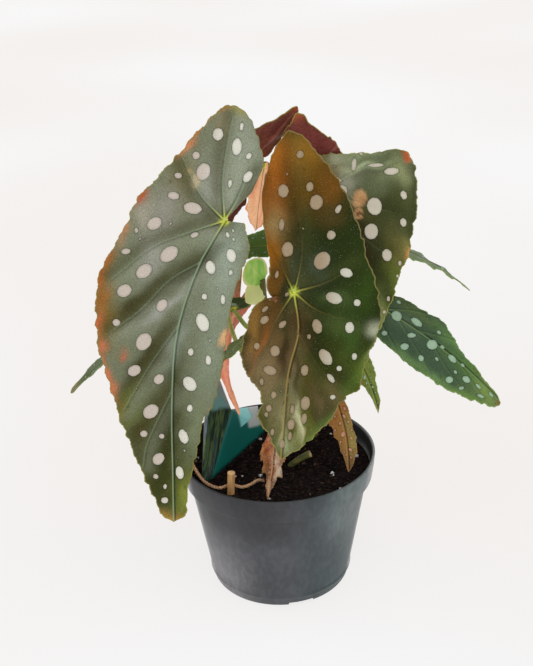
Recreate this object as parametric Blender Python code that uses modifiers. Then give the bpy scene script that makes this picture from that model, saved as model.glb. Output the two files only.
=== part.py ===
"""Potted polka dot begonia: three canes with drooping angel-wing leaves in a 12 cm nursery pot.

Lengths in the tables are millimetres; mm() turns them into Blender's metres. The pot stands on z = 0
with its axis on Z, and the plant's open side faces -Y.
"""

import math

import bmesh
import bpy
import numpy as np
from mathutils import Matrix, Vector, noise

MM = 0.001
GAP = 0.3  # clearance between pieces that touch

# Pot and soil.
POT_RADIUS = 60.0
POT_HEIGHT = 86.0
COLLAR_HEIGHT = 15.0
BASE_RADIUS = 43.0
WALL = 1.5
CHANNEL_RISE = 3.0
CHANNEL = (24.0, 38.0)
DRAIN_HOLES = 6
POT_STEPS = 36
SOIL_LEVEL = 76.0

# Plant.
BLADE = 0.8  # thickness of a leaf blade
PETIOLE_RADIUS = 1.5
FOOT_GAP = 0.75  # from a cane's side to the middle of a petiole's flat foot
CANE_RADIUS = 3.0
NODE_SWELL = 1.3


def mm(*values):
    """Millimetres to a Blender vector in metres."""
    return Vector(values) * MM


def reset():
    for item in list(bpy.data.objects):
        bpy.data.objects.remove(item)
    parts = bpy.data.collections.new("polka_dot_begonia")
    helpers = bpy.data.collections.new("cutters")
    for group in (parts, helpers):
        bpy.context.scene.collection.children.link(group)
    return parts, helpers


PARTS, HELPERS = reset()


def paint(name, colour, roughness, metallic=0.0):
    made = bpy.data.materials.new(name)
    made.use_nodes = True
    shader = made.node_tree.nodes["Principled BSDF"]
    shader.inputs["Base Color"].default_value = (*colour, 1.0)
    shader.inputs["Roughness"].default_value = roughness
    shader.inputs["Metallic"].default_value = metallic
    return made


PLASTIC = paint("dark_plastic", (0.035, 0.042, 0.05), 0.45)
SOIL = paint("potting_soil", (0.02, 0.013, 0.009), 0.95)
STEM = paint("green_stem", (0.16, 0.22, 0.05), 0.5)
LEAF = paint("spotted_leaf", (0.05, 0.08, 0.03), 0.4)
RED_LEAF = paint("red_underside", (0.15, 0.03, 0.03), 0.5)
PINK_LEAF = paint("salmon_leaf", (0.55, 0.2, 0.1), 0.5)
OLD_LEAF = paint("ageing_leaf", (0.28, 0.13, 0.04), 0.6)
CARD = paint("printed_card", (0.01, 0.12, 0.1), 0.3)
BAMBOO = paint("bamboo", (0.6, 0.35, 0.12), 0.6)
JUTE = paint("jute", (0.45, 0.27, 0.13), 0.9)


def keep(name, mesh, material, group=None):
    """Put a mesh in the scene as a part, or as a helper when a group is given."""
    item = bpy.data.objects.new(name, mesh)
    (group or PARTS).objects.link(item)
    if material:
        mesh.materials.clear()
        mesh.materials.append(material)
    if group is HELPERS:
        item.hide_render = True
        item.display_type = "WIRE"
    return item


def to_mesh(bm, name):
    mesh = bpy.data.meshes.new(name)
    bm.to_mesh(mesh)
    bm.free()
    mesh.shade_smooth()
    return mesh


def join(item, other, operation):
    """Add a live Boolean of another object, which becomes a helper."""
    cut = item.modifiers.new(operation.lower(), "BOOLEAN")
    cut.operation = operation
    cut.object = other
    return cut


def smooth_line(points, count):
    """Evenly spaced points on a Catmull-Rom curve through the given points."""
    p = np.array(points, float)
    p = np.vstack([2 * p[0] - p[1], p, 2 * p[-1] - p[-2]])
    t = np.linspace(0, 1, 12, endpoint=False)[:, None]
    dense = [
        0.5 * (2 * b + (c - a) * t + (2 * a - 5 * b + 4 * c - d) * t**2 + (3 * b - a - 3 * c + d) * t**3)
        for a, b, c, d in zip(p[:-3], p[1:-2], p[2:-1], p[3:])
    ]
    dense = np.vstack([*dense, p[-2:-1]])
    run = np.concatenate([[0], np.cumsum(np.linalg.norm(np.diff(dense, axis=0), axis=1))])
    at = np.asarray(count) * run[-1] if np.ndim(count) else np.linspace(0, run[-1], count)
    return np.stack([np.interp(at, run, column) for column in dense.T], axis=1)


def tube(name, points, radii, sides=8, group=HELPERS, material=STEM):
    """A round bar along points, as a mesh: a bevelled curve with filled caps."""
    curve = bpy.data.curves.new(name, "CURVE")
    curve.dimensions = "3D"
    curve.use_fill_caps = True
    curve.bevel_depth = MM
    curve.bevel_resolution = sides // 2 - 2
    line = curve.splines.new("POLY")
    line.points.add(len(points) - 1)
    for spot, place, radius in zip(line.points, points, radii):
        spot.co = (*(np.array(place) * MM), 1.0)
        spot.radius = radius
    bar = bpy.data.objects.new(name, curve)
    bpy.context.scene.collection.objects.link(bar)
    mesh = bpy.data.meshes.new_from_object(bar.evaluated_get(bpy.context.evaluated_depsgraph_get()))
    bpy.data.objects.remove(bar)
    bm = bmesh.new()
    bm.from_mesh(mesh)
    bmesh.ops.remove_doubles(bm, verts=bm.verts, dist=0.00001)
    bm.to_mesh(mesh)
    bm.free()
    mesh.shade_smooth()
    return keep(name, mesh, material, group)


# ---------------------------------------------------------------- pot

def turned(name, profile, steps, material, group=None):
    """A closed profile of (radius, height), outer side first, turned about Z."""
    bm = bmesh.new()
    spots = [bm.verts.new(mm(r, 0, z)) for r, z in profile]
    for a, b in zip(spots, spots[1:]):
        bm.edges.new((a, b))
    if profile[0][0] > 0:
        bm.edges.new((spots[-1], spots[0]))
    item = keep(name, to_mesh(bm, name), material, group)
    screw = item.modifiers.new("turn", "SCREW")
    screw.steps = screw.render_steps = steps
    screw.use_merge_vertices = True
    screw.merge_threshold = 0.00001
    screw.use_smooth_shade = True
    return item


def wall_radius(z, inset=0.0):
    """Outer radius of the tapered wall below the collar."""
    top = POT_HEIGHT - COLLAR_HEIGHT
    return BASE_RADIUS + (POT_RADIUS - 4.6 - BASE_RADIUS) * z / top - inset


def make_pot():
    ledge = POT_HEIGHT - COLLAR_HEIGHT
    inner, outer = CHANNEL
    floor = CHANNEL_RISE + WALL
    profile = [
        (POT_RADIUS - 1.2, POT_HEIGHT),
        (POT_RADIUS - 0.3, POT_HEIGHT - 0.3),
        (POT_RADIUS, POT_HEIGHT - 1.0),
        (POT_RADIUS - 1.6, ledge + 0.4),
        (POT_RADIUS - 2.0, ledge),
        (wall_radius(ledge - 1.0), ledge - 1.0),
        (wall_radius(7.0), 7.0),
        (wall_radius(6.0) + 0.6, 6.0),
        (wall_radius(4.5), 4.5),
        (BASE_RADIUS, 0.6),
        (BASE_RADIUS - 0.6, 0.0),
        (outer + 1.5, 0.0),
        (outer, CHANNEL_RISE),
        (inner, CHANNEL_RISE),
        (inner - 1.5, 0.0),
        (0.0, 0.0),
    ]
    inside = [
        (0.0, WALL),
        (inner - 2.5, WALL),
        (inner - 0.5, floor),
        (wall_radius(floor, WALL), floor),
        (wall_radius(ledge + 0.6, WALL), ledge + 0.6),
        (POT_RADIUS - 1.6 - WALL, ledge + 1.8),
        (POT_RADIUS - 1.9, POT_HEIGHT - 0.5),
        (POT_RADIUS - 1.2, POT_HEIGHT),
    ]
    pot = turned("pot", profile + inside, POT_STEPS, PLASTIC)
    for k in range(DRAIN_HOLES):
        angle = math.tau * (k + 0.5) / DRAIN_HOLES
        bm = bmesh.new()
        bmesh.ops.create_cone(bm, cap_ends=True, segments=12, radius1=4 * MM, radius2=4 * MM, depth=20 * MM)
        radius = (inner + outer) / 2
        bmesh.ops.translate(bm, verts=bm.verts, vec=mm(radius * math.cos(angle), radius * math.sin(angle), 2))
        join(pot, keep(f"drain_{k}", to_mesh(bm, "drain"), None, HELPERS), "DIFFERENCE")
    for k in range(3):
        bm = bmesh.new()
        bmesh.ops.create_cube(bm, size=1.0)
        bmesh.ops.scale(bm, verts=bm.verts, vec=mm(16, 13, 4))
        bmesh.ops.translate(bm, verts=bm.verts, vec=mm(0, -BASE_RADIUS + 1, 0))
        turn = Matrix.Rotation(math.radians(16 + 120 * k), 4, "Z")
        bmesh.ops.transform(bm, matrix=turn, verts=bm.verts)
        join(pot, keep(f"foot_notch_{k}", to_mesh(bm, "notch"), None, HELPERS), "DIFFERENCE")
    return pot


# ---------------------------------------------------------------- canes

# Each cane: its line from the buried end to the tip, and the heights of its nodes.
CANES = {
    "cane_left": {
        "line": [(9, 29, 52), (7, 27, 80), (4, 20, 115), (0, 12, 150), (-5, 6, 180), (-6, 4, 198)],
        "nodes": (88, 102, 120, 142, 164, 182),
        "stipules": ((199, (-0.5, -0.4, 0.8), 19, 18), (193.5, (-0.66, -0.7, -0.38), 17, 13)),
    },
    "cane_centre": {
        "line": [(16, 22, 52), (15, 23, 80), (15, 23, 130), (15, 20, 180), (14, 22, 225), (13, 26, 248)],
        "nodes": (100, 135, 165, 190, 212, 232, 245),
        "stipules": ((246, (0.3, 0.6, 0.7), 12, 9),),
    },
    "cane_right": {
        "line": [(23, 33, 52), (24, 33, 80), (28, 30, 120), (34, 26, 165), (37, 24, 205), (38, 24, 232)],
        "nodes": (92, 116, 140, 168, 196, 220),
        "stipules": ((230, (0.5, 0.5, 0.7), 12, 9),),
    },
}


def cane_at(name, height):
    """The point on a cane's axis at a height."""
    line = smooth_line(CANES[name]["line"], 60)
    return np.array([np.interp(height, line[:, 2], line[:, axis]) for axis in range(3)])


def cane_radius(name, height):
    """Thicker at the nodes, thinner at the tip."""
    top = CANES[name]["line"][-1][2]
    swell = sum(math.exp(-(((height - z) / 3.0) ** 2)) for z in CANES[name]["nodes"])
    taper = 1.0 - 0.35 * max(0.0, (height - SOIL_LEVEL) / (top - SOIL_LEVEL))
    return CANE_RADIUS * taper * (1 + (NODE_SWELL - 1) * min(swell, 1.0))


def make_cane(name):
    cane = CANES[name]
    low, high = cane["line"][0][2], cane["line"][-1][2]
    heights = sorted({low, *np.linspace(low, high, 9)[1:-1], high} | {
        z + step for z in cane["nodes"] for step in (-4, 0, 4) if z + step < high - 1})
    heights = [z for k, z in enumerate(heights) if k == 0 or z - heights[k - 1] > 1.5]
    item = tube(name, [cane_at(name, z) for z in heights], [cane_radius(name, z) for z in heights],
                group=PARTS)
    for k, (height, way, length, width) in enumerate(cane["stipules"]):
        join(item, make_stipule(f"{name}_stipule_{k}", cane_at(name, height), way, length, width), "UNION")
    return item


def make_stipule(name, root, way, length, width):
    """A small pointed sheath leaf, cupped round the cane's tip."""
    along = Vector(way).normalized()
    across = along.cross(Vector((0.35, -0.9, 0.3))).normalized()
    out = across.cross(along)
    bm = bmesh.new()
    bmesh.ops.create_grid(bm, x_segments=5, y_segments=4, size=1.0)
    for vert in bm.verts:
        s, t = (vert.co.x + 1) / 2, vert.co.y
        half = width / 2 * math.sin(math.pi * min(0.9 * s + 0.14, 1.0)) ** 0.7
        place = along * (s * length - 1.0) + across * (t * half) - out * (0.22 * half * t * t)
        vert.co = Vector(np.array(root) * MM) + place * MM
    bmesh.ops.triangulate(bm, faces=bm.faces)
    item = keep(name, to_mesh(bm, name), STEM, HELPERS)
    thicken(item, 1.0)
    return item


def thicken(item, thickness):
    shell = item.modifiers.new("thickness", "SOLIDIFY")
    shell.thickness = thickness * MM
    shell.offset = 0.0
    shell.use_even_offset = False


# ---------------------------------------------------------------- leaves

# A half outline runs from the sinus's shoulder round the edge to the tip, as (along the midrib,
# across it) from the joint. The rib is the midrib's own line in the blade.
FAN = 0.5  # share of the spokes that fan out from the joint; the rest leave the midrib
VEINS = 4  # main veins that leave the midrib in each half; the pleats rise between them
MERGE = 1.4  # shorter edges of a blade's mesh are merged,
MERGE_SHARE = 0.012  # and in a small leaf those under this share of its length

LEAVES = {
    "leaf_left": {
        "joint": (-25, -30, 247), "tip": (-58, -62, 78), "face": (0.05, -1, 0.15), "droop": 22,
        "left": [(-17, 12), (-32, 16), (-45, 12.5), (-58, 5), (-63, -2), (-59.5, -10.5), (-47, -19.5),
                 (-26, -33), (-5, -47.5), (12, -52.5), (33, -61), (47, -63), (75, -58.5), (105, -46.5),
                 (133, -33), (160, -18), (173, -11), (178, -3)],
        "right": [(0, 10), (14, 15), (40, 10), (70, 10), (90, 9.5), (103, 8), (112, 4.5), (130, 3.5),
                  (155, 2), (172, 3), (178, -3)],
        "rib": [(0, 0), (28, -11), (65, -17), (105, -14), (145, -8), (178, -3)],
        "cup": (-0.05, -0.05), "fold": (0.0, 0.05), "wave": 1.6, "pleat": 1.5, "grid": (26, 4),
        "stalk": ("cane_left", 142), "way": (-0.8, -0.6, 0), "bow": (0.12, 0.1, 0.4), "paint": LEAF,
    },
    "leaf_front": {
        "joint": (11, -42, 209), "tip": (1, -60, 114), "face": (0.1, -0.95, 0.3), "droop": 10,
        "left": [(6, -10), (4.8, -13.5), (5.5, -17), (12, -21.5), (25, -25), (36, -26), (46, -24),
                 (55, -16), (63, -13), (72, -14), (84, -7), (97, 0)],
        "right": [(4, -9), (2.6, -12), (0, -14.3), (-4, -15), (-10, -13.5), (-26, -16), (-49, -20),
                  (-72, -16), (-86, -8), (-82, 2), (-66, 17), (-47, 29), (-22, 39), (0, 47), (15, 49),
                  (35, 44), (52, 40), (59, 33), (72, 25), (86, 14), (97, 0)],
        "rib": [(0, 0), (22, 4), (48, 0), (97, 0)],
        "cup": (-0.1, -0.05), "fold": (-0.1, 0.0), "wave": 1.4, "pleat": 1.4, "grid": (26, 4),
        "stalk": ("cane_centre", 165), "paint": LEAF,
    },
    "leaf_right": {
        "joint": (32, 4, 251), "tip": (53, -12, 154), "face": (0.35, -0.9, 0.3), "droop": 20,
        "left": [(8, -11), (22, -16), (42, -14), (65, -11), (85, -6), (101, 0)],
        "right": [(1, -9), (-10, -13), (-20, -6), (-18, 12), (-12.5, 32), (-10.5, 47), (-5, 55), (5, 56.5),
                  (20, 52.5), (38, 45), (57, 33), (76, 20), (90, 10), (101, 0)],
        "rib": [(0, 0), (30, 6), (70, 5), (101, 0)],
        "cup": (-0.05, 0.0), "fold": (0.0, 0.0), "wave": 1.2, "pleat": 1.2, "grid": (22, 4),
        "stalk": ("cane_right", 220), "paint": LEAF,
    },
    "leaf_low_right": {
        "joint": (60, 22, 173), "tip": (142, 30, 98), "face": (-0.1, -0.65, 0.75), "droop": 30,
        "left": [(-10, 5), (-18, 0), (-14, -10), (2, -16), (20, -19), (38, -21), (58, -20), (72, -18.5),
                 (84, -15), (98, -10.5), (108, -6.5), (114, -2), (114, 0)],
        "right": [(2, 8), (12, 12), (30, 13.5), (45, 15.5), (56, 11), (75, 6), (94, 3.5), (108, 2),
                  (114, 0)],
        "rib": [(0, 0), (50, 1), (114, 0)],
        "cup": (0.0, 0.0), "fold": (0.1, 0.1), "wave": 1.0, "pleat": 0.8, "grid": (20, 3),
        "stalk": ("cane_right", 168), "paint": LEAF,
    },
    "leaf_side_right": {
        "joint": (61, 30, 209.3), "tip": (125, 52, 165), "face": (0, -0.08, 1), "droop": 24,
        "left": [(3, -6), (12, -10), (30, -9), (50, -6), (66, -3), (77, -1.2), (80, 0)],
        "right": [(-6, -5), (-12, 2), (-8, 10), (8, 13), (30, 11), (48, 9), (66, 3), (77, 1.2), (80, 0)],
        "rib": [(0, 0), (30, 2), (80, 0)],
        "cup": (-0.1, -0.1), "fold": (0.0, 0.0), "wave": 0.8, "pleat": 0.5, "grid": (16, 3),
        "stalk": ("cane_right", 196), "paint": LEAF,
    },
    "leaf_small_right": {
        "joint": (47, 5, 149), "tip": (62, 0, 109), "face": (0.3, -0.8, 0.5), "droop": 15,
        "left": [(-2, -6), (10, -7), (20, -4), (30, -1), (43, 0)],
        "right": [(-3, 6), (8, 8), (18, 8), (28, 5), (36, 4), (43, 0)],
        "rib": [(0, 0), (20, 1), (43, 0)],
        "cup": (0.0, 0.0), "fold": (-0.2, -0.2), "wave": 0.5, "pleat": 0.3, "grid": (12, 2),
        "stalk": ("cane_right", 140), "stalk_size": 0.7, "paint": LEAF,
    },
    "leaf_back_left": {
        "joint": (-11, 22, 264), "tip": (-62, 40, 178), "face": (-0.25, 0.65, 0.7), "droop": 20,
        "left": [(4, -10), (17, -16), (44, -20), (70, -15), (90, -7), (102, 0)],
        "right": [(-5, -8), (-16, -9.5), (-30, -7), (-41, -3.5), (-48.5, 2), (-45, 7), (-31, 10.5),
                  (-20, 17), (0, 26), (25, 32), (50, 29), (75, 18), (92, 7), (102, 0)],
        "rib": [(0, 0), (30, 5), (65, 5), (102, 0)],
        "cup": (-0.05, -0.05), "fold": (0.0, 0.0), "wave": 1.0, "pleat": 1.0, "grid": (20, 3),
        "stalk": ("cane_centre", 212), "paint": RED_LEAF,
    },
    "leaf_back_right": {
        "joint": (27, 29, 256), "tip": (60, 63, 184), "face": (0.2, 0.95, 0.2), "droop": 20,
        "left": [(-5, 8), (-20, 12), (-36, 6), (-49, -4), (-58.5, -12), (-55, -15), (-46, -15), (-37, -15),
                 (-28, -19), (-15, -19.5), (0, -22), (25, -26), (50, -23), (72, -13), (90, 0)],
        "right": [(4, 9), (18, 15), (42, 17), (65, 12), (82, 4), (90, 0)],
        "rib": [(0, 0), (30, -5), (65, -4), (90, 0)],
        "cup": (-0.05, -0.05), "fold": (0.0, 0.0), "wave": 1.0, "pleat": 1.0, "grid": (20, 3),
        "stalk": ("cane_centre", 232), "paint": RED_LEAF,
    },
    "leaf_back_middle": {
        "joint": (2, 24, 211), "tip": (-40, 34, 198), "face": (0, -0.3, 1), "droop": 25,
        "left": [(-10, -5), (-7, -12), (8, -16), (20, -13), (33, -8), (45, 0)],
        "right": [(-3, 6), (4, 10), (17, 8), (30, 5), (45, 0)],
        "rib": [(0, 0), (20, -1), (45, 0)],
        "cup": (0.0, 0.0), "fold": (0.0, 0.0), "wave": 0.8, "pleat": 0.5, "grid": (12, 3),
        "stalk": ("cane_centre", 190), "stalk_size": 0.8, "paint": LEAF,
    },
    "leaf_far_left": {
        "joint": (-23, -4, 183), "tip": (-126, 25, 119), "face": (-0.25, -0.05, 0.95), "droop": 35,
        "left": [(-4, 3), (-8, 0), (-9, -7), (0, -13), (25, -18), (52, -18), (80, -12), (100, -6.5),
                 (116, -3.5), (128, -2.2), (130, 0)],
        "right": [(1, 4), (14, 8), (45, 10), (75, 6), (100, 2.5), (116, 1.8), (128, 1.8), (130, 0)],
        "rib": [(0, 0), (40, -4), (85, -2.5), (130, 0)],
        "cup": (0.0, 0.0), "fold": (0.0, 0.0), "twist": -25, "wave": 1.0, "pleat": 0.8, "grid": (18, 3),
        "stalk": ("cane_left", 164), "paint": LEAF,
    },
    "leaf_inner": {
        "joint": (-20, 26, 176), "tip": (-23, 6, 105), "face": (0.1, 0.95, 0.05), "droop": 20,
        "left": [(-14, -9), (0, -8), (10, -2), (20, 4), (29, 6), (42, 7), (52, 6), (62, 2.5), (70, -0.3),
                 (72, 0)],
        "right": [(-20, -2), (-18, 10), (0, 19), (20, 20), (40, 15), (56, 8.5), (66, 3.6), (71, 0.8),
                  (72, 0)],
        "rib": [(0, 0), (14, 5), (35, 9.5), (54, 7.3), (72, 0)],
        "cup": (0.0, -0.05), "fold": (0.0, 0.0), "wave": 1.0, "pleat": 0.7, "grid": (14, 3),
        "stalk": ("cane_left", 182), "paint": PINK_LEAF,
    },
    "leaf_low_left": {
        "joint": (-16, -15, 170), "tip": (-42, -30, 150), "face": (-0.3, 0.1, 0.9), "droop": 20,
        "left": [(-3, -4), (7, -7), (16, -5), (25, -3), (39, 0)],
        "right": [(-2, 4), (8, 8), (17, 6), (26, 4), (39, 0)],
        "rib": [(0, 0), (20, 0), (39, 0)],
        "cup": (0.0, 0.0), "fold": (0.0, 0.0), "wave": 0.5, "pleat": 0.3, "grid": (12, 2),
        "stalk": ("cane_left", 120), "stalk_size": 0.6, "paint": LEAF,
    },
    "leaf_young": {
        "joint": (-3, 12, 265), "tip": (-9, 16, 223), "face": (-0.5, -0.8, 0.2), "droop": 10,
        "left": [(-2, -3), (10, -5), (20, -6), (33, -5), (42, 0)],
        "right": [(-2, 3), (12, 6), (31, 7), (42, 0)],
        "rib": [(0, 0), (20, 0), (42, 0)],
        "cup": (0.0, 0.0), "fold": (0.7, 0.7), "wave": 0.4, "pleat": 0.3, "grid": (12, 2),
        "stalk": ("cane_centre", 246), "stalk_size": 0.6, "paint": PINK_LEAF,
    },
    "leaf_orange": {
        "joint": (35, 2, 122), "tip": (42, -21, 81), "face": (0.1, -0.95, 0.2), "droop": 20,
        "left": [(-4, -5), (6, -9), (18, -6), (29, -3), (40, -1), (48, 0)],
        "right": [(-3, 4), (5, 6), (14, 7), (25, 8), (33, 8), (44, 4), (48, 0)],
        "rib": [(0, 0), (25, 2), (48, 0)],
        "cup": (0.0, 0.0), "fold": (-0.3, -0.2), "wave": 0.8, "pleat": 0.4, "grid": (12, 2),
        "stalk": ("cane_right", 116), "stalk_size": 0.7, "paint": OLD_LEAF,
    },
    "leaf_withered": {
        "joint": (-2, -12, 108), "tip": (-7, -44, 78), "face": (0, -0.7, 0.7), "droop": 10,
        "left": [(-3, -3), (5, -3.5), (16, -6), (24, -5), (31, -1.8), (38, -1.4), (44, 0)],
        "right": [(-2, 3), (8, 5.5), (16, 7.5), (22, 7.8), (30, 5.5), (36, 2), (44, 0)],
        "rib": [(0, 0), (20, 1), (44, 0)],
        "cup": (0.0, 0.0), "fold": (-0.4, -0.5), "wave": 1.2, "pleat": 1.0, "grid": (14, 2),
        "stalk": ("cane_left", 88), "stalk_size": 0.6, "paint": OLD_LEAF,
    },
}


def frame_of(leaf):
    """The blade's axes at its joint, its bend and its length, for a blade that droops in an arc."""
    joint, tip = np.array(leaf["joint"], float), np.array(leaf["tip"], float)
    reach = np.linalg.norm(tip - joint)
    ahead = (tip - joint) / reach
    face = np.array(leaf["face"], float)
    face -= ahead * face.dot(ahead)
    face /= np.linalg.norm(face)
    bend = math.radians(leaf["droop"])
    cosine, sine = math.cos(bend / 2), math.sin(bend / 2)
    along = ahead * cosine + face * sine
    normal = face * cosine - ahead * sine
    curve = 2 * sine / reach
    return joint, along, np.cross(normal, along), normal, curve, bend / curve


def on_blade(leaf, u, v, lift):
    """Where the flat point (u, v), raised by lift, lies on the bent blade."""
    joint, along, across, normal, curve, length = frame_of(leaf)
    cup = np.where(v < 0, *leaf["cup"])
    fold = np.where(v < 0, *leaf["fold"])
    h = lift + fold * (np.hypot(v, 3) - 3) + cup * v * v / 100
    twist = math.radians(leaf.get("twist", 0)) * u / length
    side = v * np.cos(twist) - h * np.sin(twist)
    rise = v * np.sin(twist) + h * np.cos(twist)
    angle = curve * u
    ahead = np.sin(angle) / curve + rise * np.sin(angle)
    out = rise * np.cos(angle) - (1 - np.cos(angle)) / curve
    return joint + np.outer(ahead, along) + np.outer(side, across) + np.outer(out, normal)


def half_spokes(leaf, edge, share):
    """For each share of the way round: the spoke's root on the rib, its end on the edge, its vein count."""
    line = smooth_line(edge, np.linspace(0, 1, 200))
    fan_end = np.argmax(line[:, 0] > 0.2 * line[-1, 0]) / 199
    beyond = (share - FAN) / (1 - FAN)
    along = np.where(share < FAN, fan_end * share / FAN, fan_end + (1 - fan_end) * beyond)
    ends = np.stack([np.interp(along, np.linspace(0, 1, 200), column) for column in line.T], axis=1)
    rib = smooth_line(leaf["rib"], np.clip(beyond, 0, 1))
    return rib, ends, VEINS * (along - fan_end) / (1 - fan_end)


def make_blade(name, leaf):
    """A grid whose columns are spokes from the rib to the edge, pleated, waved and bent."""
    steps, rows = leaf["grid"]
    bm = bmesh.new()
    bmesh.ops.create_grid(bm, x_segments=steps, y_segments=2 * rows, size=1.0)
    flat = np.array([vert.co for vert in bm.verts])
    share, out = (flat[:, 0] + 1) / 2, flat[:, 1]
    t = np.abs(out)[:, None]
    spots = np.empty((len(flat), 2))
    count = np.empty(len(flat))
    for side, edge in ((out < 0, leaf["left"]), (out >= 0, leaf["right"])):
        rib, ends, count[side] = half_spokes(leaf, edge, share[side])
        spots[side] = rib + (ends - rib) * t[side]
    t = t[:, 0]
    pleat = leaf["pleat"] * np.sin(math.pi * t) * (0.5 - 0.5 * np.cos(math.tau * count))
    wave = leaf["wave"] * t**3 * np.sin(math.tau * count * np.where(out < 0, 1.0, 0.8) + 1)
    lift = (pleat + wave) * np.minimum(1, 6 * (1 - share))
    for vert, place in zip(bm.verts, on_blade(leaf, spots[:, 0], spots[:, 1], lift)):
        vert.co = place * MM
    bmesh.ops.remove_doubles(bm, verts=bm.verts, dist=0.01 * MM)
    merge = min(MERGE, MERGE_SHARE * leaf["left"][-1][0])
    bmesh.ops.dissolve_degenerate(bm, edges=bm.edges, dist=merge * MM)
    bmesh.ops.triangulate(bm, faces=bm.faces)
    item = keep(name, to_mesh(bm, name), leaf["paint"])
    thicken(item, BLADE)
    return item


def make_petiole(name, leaf):
    """The stalk from the blade's joint, on its underside, to a node of its cane."""
    joint, along, across, normal, curve, length = frame_of(leaf)
    cane, height = leaf["stalk"][:2]
    root = cane_at(cane, height)
    way = np.array(leaf["way"], float) if "way" in leaf else (joint - root) * (1, 1, 0)
    way /= np.linalg.norm(way)
    foot = root + way * (cane_radius(cane, height) + FOOT_GAP)
    reach = np.linalg.norm(joint - foot)
    start = joint + normal * (BLADE / 2 + 0.5)
    back, down, out = leaf.get("bow", (0.35, 0.1, 0.4))
    near = joint - normal * reach * back - along * reach * down
    far = foot + way * out * reach
    t = np.linspace(0, 1, 8)[:, None]
    line = start * (1 - t)**3 + near * 3 * t * (1 - t)**2 + far * 3 * t * t * (1 - t) + foot * t**3
    radii = PETIOLE_RADIUS * leaf.get("stalk_size", 1.0) * (1 + 0.2 * (2 * t[:, 0] - 1)**4)
    return tube(f"{name}_petiole", line, radii, sides=6)


def make_leaf(name, leaf):
    blade = make_blade(name, leaf)
    join(blade, make_petiole(name, leaf), "UNION")
    return blade


# ---------------------------------------------------------------- soil and what stands in it

LABEL = {  # corners of the folded card, and its two faces by corner
    "corners": [(-47, -22, 74), (-41, -17, 76.5), (-8, 37, 77.5), (-12, 43, 93.5), (-28, 12, 108.5),
                (-35, 23, 125.5), (-43, 14, 119), (-41, 0, 113)],
    "faces": [(0, 1, 4, 5, 6, 7), (1, 2, 3, 4)],
}
STAKE = [(-30.0, -34.0, 52.0), (-28.6, -32.4, 80.0), (-28.0, -31.5, 90.0)]
STAKE_RADIUS = 2.3
STUB = [(5, 0, 56), (6.5, -1.5, 72), (12, -2.5, 79), (20, -3, 84)]
STUB_RADIUS = 2.3
TIE = [(-50, 7, 70), (-52, 4, 78), (-53.5, -3, 84.5), (-51, -14, 83.5), (-44.5, -26, 80.5),
       (-36, -31, 79), (-29, -27.6, 78.8), (-22, -30.5, 78.8), (-17, -28, 78.8), (-13, -23.5, 78.5),
       (-10, -20, 76), (-9, -18.5, 70)]
TIE_RADIUS = 1.0
HOLE_ROOM = 0.6  # added to a stem's radius for its hole, whose flats lie nearer than its corners
PERLITE = 14


def make_card(name, thickness, grow, group=None, material=None):
    """Both faces of the folded label as one sheet, grown about its middle."""
    corners = np.array(LABEL["corners"], float)
    corners = corners.mean(axis=0) + (corners - corners.mean(axis=0)) * grow
    bm = bmesh.new()
    spots = [bm.verts.new(mm(*corner)) for corner in corners]
    for face in LABEL["faces"]:
        bm.faces.new([spots[k] for k in face])
    bmesh.ops.triangulate(bm, faces=bm.faces)
    item = keep(name, to_mesh(bm, name), material, group)
    thicken(item, thickness)
    return item


def rod(name, line, radius, room=0.0, group=None, material=STEM):
    """A rod along a smooth line; with room, the wider cutter for its hole."""
    points = smooth_line(line, 2 * len(line))
    if room:
        points[0, 2] -= 2 * GAP
        points[-1, 2] -= 2 * GAP if points[-1, 2] < SOIL_LEVEL else 0
    return tube(name, points, [radius + room] * len(points), 6 if radius < 2 else 8, group, material)


def cane_hole(name):
    """The cutter for a cane's hole: the cane's own foot, made wider."""
    low = CANES[name]["line"][0][2]
    heights = np.linspace(low, SOIL_LEVEL + 6, 6)
    points = np.array([cane_at(name, z) for z in heights])
    points[0, 2] -= GAP
    return tube(f"{name}_hole", points, [cane_radius(name, z) + HOLE_ROOM for z in heights])


def ground(x, y):
    """Height of the loose soil: soft heaps that fade out at the wall."""
    edge = min(1.0, max(0.0, (54 - math.hypot(x, y)) / 10))
    place = Vector((x, y, 3.0))
    return SOIL_LEVEL - 0.8 + edge * (1.1 * noise.noise(place / 17) + 0.9 * noise.noise(place / 6))


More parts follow.
